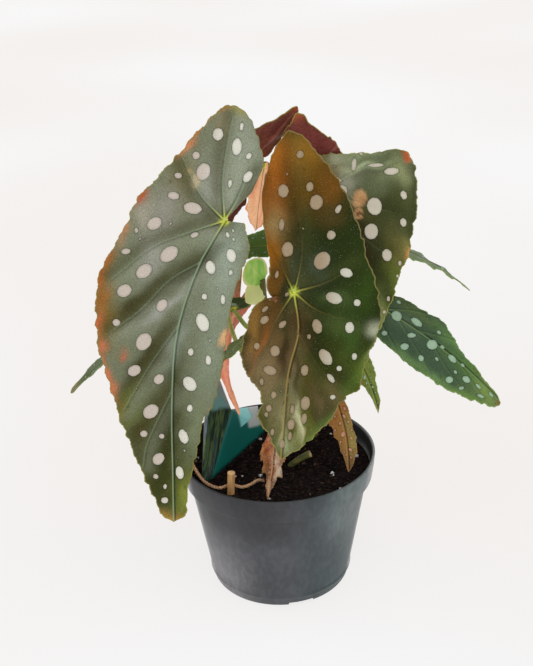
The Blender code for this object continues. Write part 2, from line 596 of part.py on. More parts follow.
def make_soil():
    """A plug that fills the pot, its top heaped, with perlite grains fused on and holes for the stems."""
    ledge = POT_HEIGHT - COLLAR_HEIGHT
    inset = WALL + GAP
    low = CHANNEL_RISE + WALL + GAP
    top = SOIL_LEVEL - 0.8
    rim = POT_RADIUS - 1.6 - inset
    sides = [(0.0, low), (wall_radius(low, inset), low), (wall_radius(ledge + 0.6, inset), ledge + 0.8),
             (rim, ledge + 2.2), (rim, top)]
    rings = [(radius, top) for radius in (49, 41, 33, 25, 17, 9)] + [(0.0, top)]
    bm = bmesh.new()
    spots = [bm.verts.new(mm(radius, 0, z)) for radius, z in sides + rings]
    edges = [bm.edges.new(pair) for pair in zip(spots, spots[1:])]
    bmesh.ops.spin(bm, geom=spots + edges, cent=(0, 0, 0), axis=(0, 0, 1), angle=math.tau, steps=POT_STEPS,
                   use_duplicate=False)
    bmesh.ops.remove_doubles(bm, verts=bm.verts, dist=0.01 * MM)
    bmesh.ops.recalc_face_normals(bm, faces=bm.faces)
    for vert in bm.verts:
        x, y, z = vert.co / MM
        if z > top - 0.5 and math.hypot(x, y) < 52:
            vert.co.z = ground(x, y) * MM
    middle = [edge for edge in bm.edges if all(vert.co.xy.length < 30 * MM for vert in edge.verts)]
    bmesh.ops.dissolve_degenerate(bm, edges=middle, dist=3.5 * MM)
    bmesh.ops.triangulate(bm, faces=bm.faces)
    soil = keep("soil", to_mesh(bm, "soil"), SOIL)
    grains = bpy.data.collections.new("perlite")
    HELPERS.children.link(grains)
    rng = np.random.default_rng(7)
    for k in range(PERLITE):
        angle, radius = rng.uniform(0, math.tau), 48 * math.sqrt(rng.uniform(0.02, 1))
        x, y = radius * math.cos(angle), radius * math.sin(angle)
        bm = bmesh.new()
        bmesh.ops.create_icosphere(bm, subdivisions=1, radius=rng.uniform(1.0, 1.9) * MM)
        bmesh.ops.rotate(bm, verts=bm.verts, matrix=Matrix.Rotation(angle, 3, (1, 2, 3)))
        bmesh.ops.translate(bm, verts=bm.verts, vec=mm(x, y, ground(x, y) + 0.2))
        keep(f"grain_{k}", to_mesh(bm, "grain"), SOIL, grains)
    fuse = soil.modifiers.new("perlite", "BOOLEAN")
    fuse.operation = "UNION"
    fuse.operand_type = "COLLECTION"
    fuse.collection = grains
    fused = bpy.data.meshes.new_from_object(soil.evaluated_get(bpy.context.evaluated_depsgraph_get()))
    soil.modifiers.clear()
    soil.data = fused
    for grain in list(grains.objects):
        bpy.data.objects.remove(grain)
    bpy.data.collections.remove(grains)
    for name in CANES:
        join(soil, cane_hole(name), "DIFFERENCE")
    for name, line, radius in (("stake", STAKE, STAKE_RADIUS), ("stub", STUB, STUB_RADIUS),
                               ("tie", TIE, TIE_RADIUS)):
        join(soil, rod(f"{name}_hole", line, radius, HOLE_ROOM, HELPERS), "DIFFERENCE")
    join(soil, make_card("label_slot", 1.8, 1.03, HELPERS), "DIFFERENCE")
    return soil


make_pot()
make_soil()
for cane_name in CANES:
    make_cane(cane_name)
for leaf_name in LEAVES:
    make_leaf(leaf_name, LEAVES[leaf_name])
make_card("label", 0.8, 1.0, None, CARD)
rod("stem_stub", STUB, STUB_RADIUS)
rod("stake", STAKE, STAKE_RADIUS, material=BAMBOO)
rod("tie", TIE, TIE_RADIUS, material=JUTE)
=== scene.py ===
# A polka dot begonia in a nursery pot: spotted angel-wing leaves on three canes.
# Lengths in the tables are millimetres; the pot's axis is Z and the plant's open side faces -Y.

import math

import bmesh
import bpy
import numpy as np
from mathutils import Matrix, Vector, noise


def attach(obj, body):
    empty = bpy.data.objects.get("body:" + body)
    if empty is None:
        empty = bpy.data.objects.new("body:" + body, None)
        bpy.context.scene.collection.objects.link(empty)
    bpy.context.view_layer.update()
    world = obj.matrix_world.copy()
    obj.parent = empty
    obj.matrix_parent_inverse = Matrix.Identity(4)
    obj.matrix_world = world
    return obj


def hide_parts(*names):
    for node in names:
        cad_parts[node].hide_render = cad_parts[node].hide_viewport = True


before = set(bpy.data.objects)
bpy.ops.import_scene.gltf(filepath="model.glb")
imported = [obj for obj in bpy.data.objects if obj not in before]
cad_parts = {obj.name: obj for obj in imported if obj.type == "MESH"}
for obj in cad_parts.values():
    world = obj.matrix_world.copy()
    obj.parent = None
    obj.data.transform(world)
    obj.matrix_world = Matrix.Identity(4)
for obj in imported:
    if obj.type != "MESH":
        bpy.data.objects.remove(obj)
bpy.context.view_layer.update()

# ---------------------------------------------------------------- studio
# The plant stands on a pale floor that runs back as far as the eye sees, under a soft overhead
# light and two weaker ones from the sides. The camera looks down on it from the front.

MM = 0.001


def mm(*values):
    """Millimetres to metres."""
    return Vector(values) * MM


def tint(red, green, blue):
    """A colour as the eye reads it, 0 to 255, as the light that a finish gives back."""
    return tuple((value / 255 / 12.92) if value < 10 else ((value / 255 + 0.055) / 1.055) ** 2.4
                 for value in (red, green, blue))


class Flow:
    """A value or colour on its way through a finish; arithmetic on it adds Math nodes."""

    def __init__(self, socket):
        self.socket = socket

    def node(self, kind, settings=None, sockets=None, out=0):
        """Any other node: its settings first, then its sockets' values or flows."""
        tree = self.socket.id_data
        made = tree.nodes.new(kind)
        for name, value in (settings or {}).items():
            if name == "stops":
                for spare in list(made.color_ramp.elements)[1:]:
                    made.color_ramp.elements.remove(spare)
                for k, (at, *colour) in enumerate(value):
                    stop = made.color_ramp.elements[0] if k == 0 else made.color_ramp.elements.new(at)
                    stop.position, stop.color = at, (*tint(*colour), 1.0)
            else:
                setattr(made, name, value)
        for name, value in (sockets or {}).items():
            if isinstance(value, Flow):
                tree.links.new(value.socket, made.inputs[name])
            else:
                made.inputs[name].default_value = value
        return Flow(made.outputs[out])

    def maths(self, operation, first, second):
        return self.node("ShaderNodeMath", {"operation": operation}, {0: first, 1: second})

    def __add__(self, other):
        return self.maths("ADD", self, other)

    def __sub__(self, other):
        return self.maths("SUBTRACT", self, other)

    def __rsub__(self, other):
        return self.maths("SUBTRACT", other, self)

    def __mul__(self, other):
        return self.maths("MULTIPLY", self, other)

    def __truediv__(self, other):
        return self.maths("DIVIDE", self, other)

    __radd__, __rmul__ = __add__, __mul__

    def part(self, axis):
        """One of a place's three measures."""
        return self.node("ShaderNodeSeparateXYZ", {}, {0: self}, axis)


def finish(name, **settings):
    """A new material, its shader, and the flow of places on its piece."""
    made = bpy.data.materials.new(name)
    made.use_nodes = True
    shader = made.node_tree.nodes["Principled BSDF"]
    for setting, value in settings.items():
        shader.inputs[setting.replace("_", " ")].default_value = value
    return made, shader, Flow(made.node_tree.nodes.new("ShaderNodeTexCoord").outputs["Object"])


def wire(shader, **flows):
    """Lead each flow into the shader's socket of that name."""
    for name, flow in flows.items():
        shader.id_data.links.new(flow.socket, shader.inputs[name.replace("_", " ")])


def soft(flow, low, high):
    """0 below low and 1 above high, with a smooth rise between."""
    return flow.node("ShaderNodeMapRange", {"interpolation_type": "SMOOTHSTEP"},
                     {"Value": flow, "From Min": low, "From Max": high})


def mix(mask, under, over):
    """One colour over another where the mask is 1; each is a flow, or 0 to 255 as the eye reads it."""
    under, over = (colour if isinstance(colour, Flow) else (*tint(*colour), 1.0) for colour in (under, over))
    return mask.node("ShaderNodeMix", {"data_type": "RGBA"}, {0: mask, 6: under, 7: over}, 2)


def dim(colour, amount):
    """A colour made lighter or darker."""
    return colour.node("ShaderNodeVectorMath", {"operation": "SCALE"}, {0: colour, "Scale": amount})


def cloud(place, scale, detail=3.0, stretch=(1.0, 1.0, 1.0)):
    """Soft noise, 0 to 1, which can be stretched along the axes."""
    drawn = place.node("ShaderNodeMapping", {}, {"Vector": place, "Scale": stretch})
    return place.node("ShaderNodeTexNoise", {}, {"Vector": drawn, "Scale": scale, "Detail": detail}, "Fac")


floor_paint, floor_shader, floor_place = finish("studio_floor", Roughness=0.8, Specular_IOR_Level=0.1,
                                                Emission_Strength=0.81)
floor_tone = mix(soft(cloud(floor_place, 1.3, 1), 0.35, 0.65), (248, 244, 241), (252, 252, 252))
wire(floor_shader, Base_Color=dim(floor_tone, 0.15), Emission_Color=floor_tone)


def made_of(name, bm, *materials):
    """A new object in the scene, of a finished mesh and its materials."""
    mesh = bpy.data.meshes.new(name)
    bm.to_mesh(mesh)
    bm.free()
    for made in materials:
        mesh.materials.append(made)
    item = bpy.data.objects.new(name, mesh)
    bpy.context.scene.collection.objects.link(item)
    return item


FLOOR_SIZE = 8.0
bm = bmesh.new()
bmesh.ops.create_grid(bm, x_segments=2, y_segments=2, size=FLOOR_SIZE)
made_of("floor", bm, floor_paint)

LOOK_AT = (-4.5, 0.0, 165.4)
LOOK_FROM = 707.0
LOOK_DOWN = math.radians(25.1)
LOOK_ROLL = math.radians(-1.87)
LENS, SENSOR = 64.86, 36.0
lens = bpy.data.cameras.new("camera")
lens.lens, lens.sensor_width = LENS, SENSOR
lens.clip_start, lens.clip_end = 0.01, 50.0
camera = bpy.data.objects.new("camera", lens)
bpy.context.scene.collection.objects.link(camera)
camera.matrix_world = (
    Matrix.Translation(mm(*LOOK_AT) + Vector((0, -math.cos(LOOK_DOWN), math.sin(LOOK_DOWN))) * LOOK_FROM * MM)
    @ Matrix.Rotation(math.pi / 2 - LOOK_DOWN, 4, "X") @ Matrix.Rotation(LOOK_ROLL, 4, "Z"))
bpy.context.scene.camera = camera

world = bpy.data.worlds.new("studio")
world.use_nodes = True
world.node_tree.nodes["Background"].inputs["Color"].default_value = (0.97, 0.985, 1.0, 1.0)
world.node_tree.nodes["Background"].inputs["Strength"].default_value = 0.5
bpy.context.scene.world = world
bpy.context.scene.view_settings.view_transform = "Standard"
LIGHTS = [("overhead", 1.5, 100, 46, 10), ("left_window", 0.9, 45, 72, -118),
          ("right_window", 0.6, 45, 75, 122)]
for name, strength, spread, tilt, turn in LIGHTS:
    lamp = bpy.data.lights.new(name, "SUN")
    lamp.energy, lamp.angle = strength, math.radians(spread)
    stand = bpy.data.objects.new(name, lamp)
    stand.matrix_world = (Matrix.Rotation(math.radians(turn), 4, "Z")
                          @ Matrix.Rotation(math.radians(tilt), 4, "X"))
    bpy.context.scene.collection.objects.link(stand)


# ---------------------------------------------------------------- nursery pot
# A thin injection-moulded pot of recycled dark plastic: a straight collar over a tapered wall, a
# foot bead, a raised drainage channel with six holes, and three notches that let water out below.

POT_RADIUS, POT_HEIGHT, COLLAR_HEIGHT, BASE_RADIUS, WALL = 60.0, 86.0, 15.0, 43.0, 1.5
LEDGE = POT_HEIGHT - COLLAR_HEIGHT
COLLAR_STEP, COLLAR_INSET, LIP_INSET = 4.6, 1.8, 1.2
CHANNEL_OUT, CHANNEL_IN, CHANNEL_RISE = 39.5, 22.5, 3.0
DRAINS, DRAIN_RADIUS, DRAIN_RING = 6, 4.0, 31.0
NOTCHES, NOTCH_TURN, NOTCH_SIZE = 3, 16, (16, 13, 4)
TAB_SIZE, TAB_HEIGHT = (9.5, 1.2, 2.6), 82.2


def bumped(height, depth):
    """A relief of that depth in millimetres."""
    return height.node("ShaderNodeBump", {}, {"Height": height, "Distance": depth * MM, "Strength": 1.0})


def piece(name, bm, materials, node):
    """A finished mesh as a piece of the plant that stands for a node of the frame."""
    item = made_of(name, bm, *materials)
    item.data.shade_smooth()
    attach(item, "root")
    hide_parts(node)
    return item


def wall_radius(z, inset=0.0):
    """Outer radius of the tapered wall below the collar."""
    return BASE_RADIUS + (POT_RADIUS - COLLAR_STEP - BASE_RADIUS) * z / LEDGE - inset


def turned(profile, steps):
    """A closed ring or a plug, turned from a profile of (radius, height)."""
    bm = bmesh.new()
    spots = [bm.verts.new(mm(radius, 0, z)) for radius, z in profile]
    edges = [bm.edges.new(pair) for pair in zip(spots, spots[1:])]
    bmesh.ops.spin(bm, geom=spots + edges, cent=(0, 0, 0), axis=(0, 0, 1), angle=math.tau, steps=steps,
                   use_merge=True, use_duplicate=False)
    bmesh.ops.remove_doubles(bm, verts=bm.verts, dist=0.01 * MM)
    bmesh.ops.recalc_face_normals(bm, faces=bm.faces)
    return bm


def eased(bm, offset, segments, least=25):
    """Round the edges that turn by more than least degrees."""
    sharp = [edge for edge in bm.edges if len(edge.link_faces) == 2
             and edge.calc_face_angle(0) > math.radians(least)]
    bmesh.ops.bevel(bm, geom=sharp, offset=offset * MM, segments=segments, affect="EDGES", profile=0.5,
                    material=-1, clamp_overlap=True)


def box(size, centre):
    """A block of a given size round its centre."""
    bm = bmesh.new()
    bmesh.ops.create_cube(bm, size=1.0)
    bmesh.ops.scale(bm, verts=bm.verts, vec=mm(*size))
    bmesh.ops.translate(bm, verts=bm.verts, vec=mm(*centre))
    return bm


def cut_from(item, cutters):
    """Cut each shape out of a piece and leave its mesh clean."""
    helpers = [made_of("cutter", cutter) for cutter in cutters]
    for helper in helpers:
        cut = item.modifiers.new("cut", "BOOLEAN")
        cut.operation, cut.object = "DIFFERENCE", helper
    clean = bpy.data.meshes.new_from_object(item.evaluated_get(bpy.context.evaluated_depsgraph_get()))
    item.modifiers.clear()
    item.data = clean
    for helper in helpers:
        bpy.data.objects.remove(helper)


pot_plastic, pot_shader, pot_place = finish("dark_plastic", Specular_IOR_Level=0.45)
scuffs = cloud(pot_place, 90, 5, (1, 1, 0.25))
height = pot_place.part("Z")
TAPER = 0.175
wall = TAPER * height + BASE_RADIUS * MM
reach, in_depth = pot_place.part("X") / wall, pot_place.part("Y") / wall
# painted_left_light: the low left side of the wall lightened, a painted sheen from the light on the left.
painted_left_light = (1 - soft(reach, -0.95, -0.1)) * (1 - soft(height, 0.012, 0.062))
# shaded: painted shadow darkening the upper left of the wall, under the collar.
shaded = (1 - soft(reach, -0.2, 0.5)) * soft(height, 0.044, 0.064)
# edges: both rims of the wall painted pale, a painted reflection of the bright studio.
edges = soft(reach * reach, 0.8, 0.98)
# Inside the wall the plastic is painted near-black, as painted shade inside the pot.
around = reach * reach + in_depth * in_depth - 0.06 * soft(height, 0.0705, 0.0725)
outside = soft(around, 0.955, 0.975)
rubbed = soft(cloud(pot_place, 340, 6, (1, 1, 0.5)), 0.4, 0.64)
dull = soft(cloud(pot_place, 40, 6), 0.36, 0.66)
# The right side is painted greenish as a painted reflection of the leaves, with a lighter strip high up as a
# painted highlight.
middle = mix(soft(reach, 0.0, 0.6), (64, 66, 70), (50, 62, 64))
middle = mix(0.8 * soft(reach, 0.3, 0.7) * soft(height, 0.02, 0.066), middle, (92, 102, 102))
middle = mix(0.9 * painted_left_light, mix(0.8 * shaded, middle, (30, 30, 34)), (120, 118, 121))
outer = dim(mix(0.8 * edges, middle, (150, 152, 152)), 0.74 + 0.28 * dull + 0.26 * rubbed)
wire(pot_shader, Base_Color=mix(outside, (26, 27, 28), outer), Roughness=0.34 + 0.22 * scuffs,
     Normal=bumped(scuffs + 0.6 * cloud(pot_place, 1600, 2), 0.06))
bm = turned([
    (POT_RADIUS - LIP_INSET, POT_HEIGHT), (POT_RADIUS, POT_HEIGHT), (POT_RADIUS - 0.5, LEDGE + 9),
    (POT_RADIUS - COLLAR_INSET, LEDGE), (wall_radius(LEDGE) + 0.9, LEDGE - 0.8),
    (wall_radius(LEDGE - 2), LEDGE - 2), (wall_radius(40), 40), (wall_radius(7.6), 7.6),
    (wall_radius(6.6) + 0.7, 6.9), (wall_radius(5.6) + 0.7, 5.9), (wall_radius(4.9), 5.0),
    (BASE_RADIUS + 0.1, 1.5), (BASE_RADIUS - 0.7, 0.0),
    (CHANNEL_OUT, 0.0), (CHANNEL_OUT - 1.5, CHANNEL_RISE), (CHANNEL_IN + 1.5, CHANNEL_RISE),
    (CHANNEL_IN, 0.0), (0.0, 0.0), (0.0, WALL), (CHANNEL_IN - 1, WALL), (CHANNEL_IN + 1, CHANNEL_RISE + WALL),
    (wall_radius(CHANNEL_RISE + WALL, WALL), CHANNEL_RISE + WALL),
    (wall_radius(40, WALL), 40), (wall_radius(LEDGE + 0.6, WALL), LEDGE + 0.6),
    (POT_RADIUS - COLLAR_INSET - WALL, LEDGE + 1.8), (POT_RADIUS - 1.9, POT_HEIGHT - 0.5),
    (POT_RADIUS - LIP_INSET, POT_HEIGHT),
], 144)
eased(bm, 0.35, 3)
pot = piece("nursery_pot", bm, [pot_plastic], "pot")
cutters = []
for k in range(DRAINS):
    angle = math.tau * (k + 0.5) / DRAINS
    bm = bmesh.new()
    bmesh.ops.create_cone(bm, cap_ends=True, segments=32, radius1=DRAIN_RADIUS * MM,
                          radius2=DRAIN_RADIUS * MM, depth=20 * MM)
    centre = mm(DRAIN_RING * math.cos(angle), DRAIN_RING * math.sin(angle), 2)
    bmesh.ops.translate(bm, verts=bm.verts, vec=centre)
    cutters.append(bm)
for k in range(NOTCHES):
    bm = box(NOTCH_SIZE, (0, 1 - BASE_RADIUS, 0))
    turn = Matrix.Rotation(math.radians(NOTCH_TURN + 360 / NOTCHES * k), 3, "Z")
    bmesh.ops.rotate(bm, verts=bm.verts, matrix=turn)
    cutters.append(bm)
cut_from(pot, cutters)

# The collar's moulded tab: a low flat step where the sprue was, on the front.
bm = box(TAB_SIZE, (0, 0.75 - POT_RADIUS, TAB_HEIGHT))
bmesh.ops.bevel(bm, geom=bm.edges, offset=0.25 * MM, segments=2, affect="EDGES", profile=0.5, material=-1)
piece("collar_tab", bm, [pot_plastic], "pot")


# ---------------------------------------------------------------- potting soil
# Dark peat, loosely heaped, with crumbs of bark, root fibres and a few white grains of perlite. It
# fills the pot to about a centimetre below the rim.

SOIL_LEVEL, SOIL_FOOT, SOIL_GAP = 76.0, 4.8, 0.3
SETTLED = SOIL_LEVEL - 0.8


def ramp(flow, *stops):
    """Colours laid along a value; each stop is its place, then red, green and blue, 0 to 255."""
    return flow.node("ShaderNodeValToRGB", {"stops": stops}, {"Fac": flow})


def ground(x, y):
    """Height of the loose soil: soft heaps that fade out at the wall."""
    edge = min(1.0, max(0.0, (54 - math.hypot(x, y)) / 10))
    place = Vector((x, y, 3.0))
    return SETTLED + edge * (1.1 * noise.noise(place / 17) + 0.9 * noise.noise(place / 6))


peat, peat_shader, peat_place = finish("potting_soil", Roughness=0.95, Specular_IOR_Level=0.1)
fibres = cloud(peat_place, 420, 8, (1, 2.5, 1))
peat_tones = ramp(fibres, (0.36, 6, 4, 4), (0.54, 26, 18, 16), (0.66, 58, 42, 34), (0.8, 112, 88, 68))
wire(peat_shader, Base_Color=peat_tones, Normal=bumped(fibres, 0.9))
rim = POT_RADIUS - 1.6 - WALL - SOIL_GAP
bm = turned([(0.0, SOIL_FOOT), (wall_radius(SOIL_FOOT, WALL + SOIL_GAP), SOIL_FOOT),
             (wall_radius(LEDGE, WALL + SOIL_GAP), LEDGE + 0.8), (rim, LEDGE + 2.2), (rim, SETTLED)]
            + [(radius, SETTLED) for radius in np.linspace(rim - 0.9, 0, 62)], 220)
for vert in bm.verts:
    x, y, z = vert.co / MM
    if z > SOIL_LEVEL - 1 and math.hypot(x, y) < rim - 0.2:
        place = Vector((x, y, 0))
        lumps = 1 - 2 * abs(noise.noise(place / 3.1)) + 0.6 * noise.noise(place / 1.3)
        vert.co.z = (ground(x, y) + 0.75 * lumps) * MM
piece("soil_bed", bm, [peat], "soil")


def scatter(name, count, sizes, squash, made, seed, reach=53.0, sink=0.0):
    """Many small broken grains lying on the soil, in one mesh."""
    rng = np.random.default_rng(seed)
    bm = bmesh.new()
    for _ in range(count):
        angle, radius = rng.uniform(0, math.tau), reach * math.sqrt(rng.uniform(0, 1))
        x, y = radius * math.cos(angle), radius * math.sin(angle)
        grain = bmesh.ops.create_icosphere(bm, subdivisions=1, radius=1.0)["verts"]
        for vert in grain:
            vert.co *= rng.uniform(0.75, 1.2)
        size = rng.uniform(*sizes)
        bmesh.ops.scale(bm, verts=grain, vec=mm(*squash) * size)
        lean = Matrix.Rotation(rng.uniform(-0.5, 0.5), 3, "Y")
        lean = lean @ Matrix.Rotation(rng.uniform(-0.4, 0.4), 3, "X")
        bmesh.ops.rotate(bm, verts=grain, matrix=Matrix.Rotation(rng.uniform(0, math.tau), 3, "Z") @ lean)
        bmesh.ops.translate(bm, verts=grain, vec=mm(x, y, ground(x, y) + 0.6 - sink * size))
    piece(name, bm, [made], "soil")


bark, bark_shader, bark_place = finish("bark_crumbs", Roughness=0.9, Specular_IOR_Level=0.15)
bark_tones = ramp(cloud(bark_place, 260, 2), (0.35, 10, 7, 6), (0.6, 40, 30, 26), (0.72, 104, 80, 64))
wire(bark_shader, Base_Color=bark_tones, Normal=bumped(cloud(bark_place, 1500, 4), 0.3))
perlite, perlite_shader, perlite_place = finish("perlite", Roughness=0.85)
wire(perlite_shader, Base_Color=mix(cloud(perlite_place, 900), (196, 200, 202), (240, 241, 240)),
     Normal=bumped(cloud(perlite_place, 1800, 4), 0.25))
scatter("bark_bits", 420, (0.5, 1.5), (1.3, 0.9, 0.7), bark, 3)
scatter("root_fibres", 260, (0.9, 2.6), (1.6, 0.16, 0.16), bark, 5)
scatter("perlite_grains", 22, (0.8, 1.7), (1.0, 0.9, 0.85), perlite, 12, 51.0, 0.1)


# ---------------------------------------------------------------- canes
# Three jointed green canes with swollen nodes, brown rings where old leaves fell, and pale pores.
# Papery green stipules, the sheaths of young leaves, stand at their tips.

CANES = {
    "cane_left": {
        "line": [(9, 29, 52), (7, 27, 80), (4, 20, 115), (0, 12, 150), (-5, 6, 180), (-6, 4, 198)],
        "nodes": (88, 102, 120, 142, 164, 182),
        "stipules": ((199, (-0.5, -0.4, 0.8), 19, 18), (193.5, (-0.66, -0.7, -0.38), 17, 13)),
    },
    "cane_centre": {
        "line": [(16, 22, 52), (15, 23, 80), (15, 23, 130), (15, 20, 180), (14, 22, 225), (13, 26, 248)],
        "nodes": (100, 135, 165, 190, 212, 232, 245),
        "stipules": ((246, (0.3, 0.6, 0.7), 12, 9),),
    },
    "cane_right": {
        "line": [(23, 33, 52), (24, 33, 80), (28, 30, 120), (34, 26, 165), (37, 24, 205), (38, 24, 232)],
        "nodes": (92, 116, 140, 168, 196, 220),
        "stipules": ((230, (0.5, 0.5, 0.7), 12, 9),),
    },
}
CANE_RADIUS, NODE_SWELL, CANE_STEPS, CANE_SIDES = 3.0, 1.3, 150, 24
STIPULE, STIPULE_STEPS, STIPULE_ROWS = 0.5, 28, 16
PER_STRETCH = 12


def smooth_line(points, count):
    """Evenly spaced points on a Catmull-Rom curve, or points at the given shares of its length."""
    p = np.array(points, float)
    p = np.vstack([2 * p[0] - p[1], p, 2 * p[-1] - p[-2]])
    t = np.linspace(0, 1, PER_STRETCH, endpoint=False)[:, None]
    dense = [0.5 * (2 * b + (c - a) * t + (2 * a - 5 * b + 4 * c - d) * t**2 + (3 * b - a - 3 * c + d) * t**3)
             for a, b, c, d in zip(p[:-3], p[1:-2], p[2:-1], p[3:])]
    dense = np.vstack([*dense, p[-2:-1]])
    run = np.concatenate([[0], np.cumsum(np.linalg.norm(np.diff(dense, axis=0), axis=1))])
    at = np.asarray(count) * run[-1] if np.ndim(count) else np.linspace(0, run[-1], count)
    return np.stack([np.interp(at, run, column) for column in dense.T], axis=1)


def cane_at(name, height):
    """The point on a cane's axis at a height."""
    line = smooth_line(CANES[name]["line"], 60)
    return np.array([np.interp(height, line[:, 2], line[:, axis]) for axis in range(3)])


def hump(x, width):
    """1 where x is 0, fading smoothly to nothing a few widths away."""
    return np.exp(-((x / width) ** 2))


def cane_radius(name, height):
    """Thicker at the nodes, thinner at the tip."""
    top = CANES[name]["line"][-1][2]
    swell = sum(hump(height - z, 3.0) for z in CANES[name]["nodes"])
    taper = 1.0 - 0.35 * max(0.0, (height - SOIL_LEVEL) / (top - SOIL_LEVEL))
    return CANE_RADIUS * taper * (1 + (NODE_SWELL - 1) * min(swell, 1.0))


def unit(rows):
    """A vector, or each row of a table of them, brought to length 1."""
    return rows / np.linalg.norm(rows, axis=-1, keepdims=True)


def axes_along(line, hint):
    """The way ahead at each point of a line, and two directions square to it."""
    ahead = unit(np.gradient(line, axis=0))
    side = unit(np.cross(ahead, hint))
    return ahead, side, np.cross(ahead, side)


def rod(bm, line, radii, sides, marks=None):
    """A round stem along a line, capped at both ends: a grid that is rolled up and merged."""
    line = np.array(line, float)
    grid = bmesh.ops.create_grid(bm, x_segments=len(line) - 1, y_segments=sides, size=1.0)["verts"]
    _, side, over = axes_along(line, (0.31, -0.62, 0.72))
    for vert in grid:
        k = round((vert.co.x + 1) / 2 * (len(line) - 1))
        angle = -math.pi * vert.co.y
        vert.co = Vector(line[k] + radii[k] * (math.cos(angle) * side[k] + math.sin(angle) * over[k])) * MM
        if marks is not None:
            vert[bm.verts.layers.float["mark"]] = marks[k]
    bmesh.ops.remove_doubles(bm, verts=grid, dist=0.001 * MM)
    bmesh.ops.holes_fill(bm, edges=[edge for edge in bm.edges if edge.is_boundary], sides=0)


def thicken(item, thickness):
    """A sheet given its thickness, half of it to each side."""
    shell = item.modifiers.new("thickness", "SOLIDIFY")
    shell.thickness, shell.offset = thickness * MM, 0.0
    return shell


def attribute(flow, name, out="Fac"):
    """A value or colour that the piece's mesh carries."""
    return flow.node("ShaderNodeAttribute", {"attribute_name": name}, out=out)


cane_skin, cane_shader, cane_place = finish("green_stem", Roughness=0.42)
ring = soft(attribute(cane_place, "mark"), 0.35, 0.9)
pores = cane_place.node("ShaderNodeTexVoronoi", {}, {"Vector": cane_place, "Scale": 420.0}, "Distance")
streaks = cloud(cane_place, 160, 4, (1, 1, 0.15))
green = mix(soft(streaks, 0.35, 0.7), (92, 112, 38), (134, 122, 62))
wire(cane_shader, Normal=bumped(streaks - 0.5 * ring, 0.25),
     Base_Color=mix(0.85 * (1 - soft(pores, 0.12, 0.2)), mix(ring, green, (104, 78, 44)), (190, 186, 140)))
# The stipules glow a little: emission of their own colour stands in for light shining through the thin
# sheaths, a painted glow.
sheath, sheath_shader, sheath_place = finish("stipule_green", Roughness=0.38, Emission_Strength=0.16,
                                             Subsurface_Weight=0.25, Subsurface_Scale=0.002)
sheath_shader.inputs["Subsurface Radius"].default_value = (0.6, 1.0, 0.2)
fresh = mix(soft(cloud(sheath_place, 150, 4, (1, 1, 0.3)), 0.35, 0.65), (140, 206, 78), (204, 236, 130))
fresh = mix(attribute(sheath_place, "pale"), fresh, (236, 244, 172))
fresh = mix(soft(attribute(sheath_place, "hem"), 0.2, 0.75), fresh, (238, 236, 168))
wire(sheath_shader, Base_Color=fresh, Emission_Color=fresh,
     Normal=bumped(cloud(sheath_place, 500, 3, (1, 1, 0.2)), 0.15))

for name, cane in CANES.items():
    low, high = cane["line"][0][2], cane["line"][-1][2]
    heights = np.linspace(low, high, CANE_STEPS)
    marks = [sum(hump(z - 1.5 - at, 0.9) for at in cane["nodes"]) for z in heights]
    bm = bmesh.new()
    bm.verts.layers.float.new("mark")
    axis, radii = [cane_at(name, z) for z in heights], [cane_radius(name, z) for z in heights]
    rod(bm, axis, radii, CANE_SIDES, marks)
    piece(f"{name}_stem", bm, [cane_skin], name)
    for k, (height, way, length, width) in enumerate(cane["stipules"]):
        along = Vector(way).normalized()
        across = along.cross(Vector((0.35, -0.9, 0.3))).normalized()
        out = across.cross(along)
        root = Vector(cane_at(name, height))
        bm = bmesh.new()
        bmesh.ops.create_grid(bm, x_segments=STIPULE_STEPS, y_segments=STIPULE_ROWS, size=1.0)
        hem, pale = (bm.verts.layers.float.new(key) for key in ("hem", "pale"))
        for vert in bm.verts:
            s, t = (vert.co.x + 1) / 2, vert.co.y
            vert[hem], vert[pale] = max(abs(t) ** 6, s ** 12, 0.45 * hump(t, 0.06)), 0.8 * k
            half = width / 2 * math.sin(math.pi * min(0.9 * s + 0.14, 1.0)) ** 0.7
            rib = 0.25 * math.cos(9 * t) * (1 - s)
            vert.co = (root + along * (s * length - 1.0) + across * (t * half)
                       - out * (0.22 * half * t * t + rib)) * MM
        bmesh.ops.remove_doubles(bm, verts=bm.verts, dist=0.02 * MM)
        thicken(piece(f"{name}_stipule_{k}", bm, [sheath], name), STIPULE)


# ---------------------------------------------------------------- mature leaves
# Angel-wing blades that hang from fleshy stalks: a lopsided heart, quilted between the veins that
# spread from the joint, dark olive green with silvery spots, a thin pale hem and a red underside.

BLADE, STALK_RADIUS, FOOT_GAP = 0.6, 1.5, 0.75
STALK_STEPS, STALK_SIDES = 48, 14
FAN, FAN_REACH, LOBES, EDGE_STEPS = 0.5, 0.2, 4, 200
RIB_BOLD, FAR, TRIES = 0.75, 99.0, 900


def frame_of(leaf):
    """The joint, the blade's way ahead and its normal there, its bend and its length along the arc."""
    joint, tip, face = (np.array(leaf[key], float) for key in ("joint", "tip", "face"))
    reach = np.linalg.norm(tip - joint)
    ahead = (tip - joint) / reach
    face = unit(face - ahead * face.dot(ahead))
    bend = math.radians(leaf["droop"])
    cosine, sine = math.cos(bend / 2), math.sin(bend / 2)
    along = ahead * cosine + face * sine
    normal = face * cosine - ahead * sine
    curve = 2 * sine / reach
    return joint, along, normal, curve, bend / curve


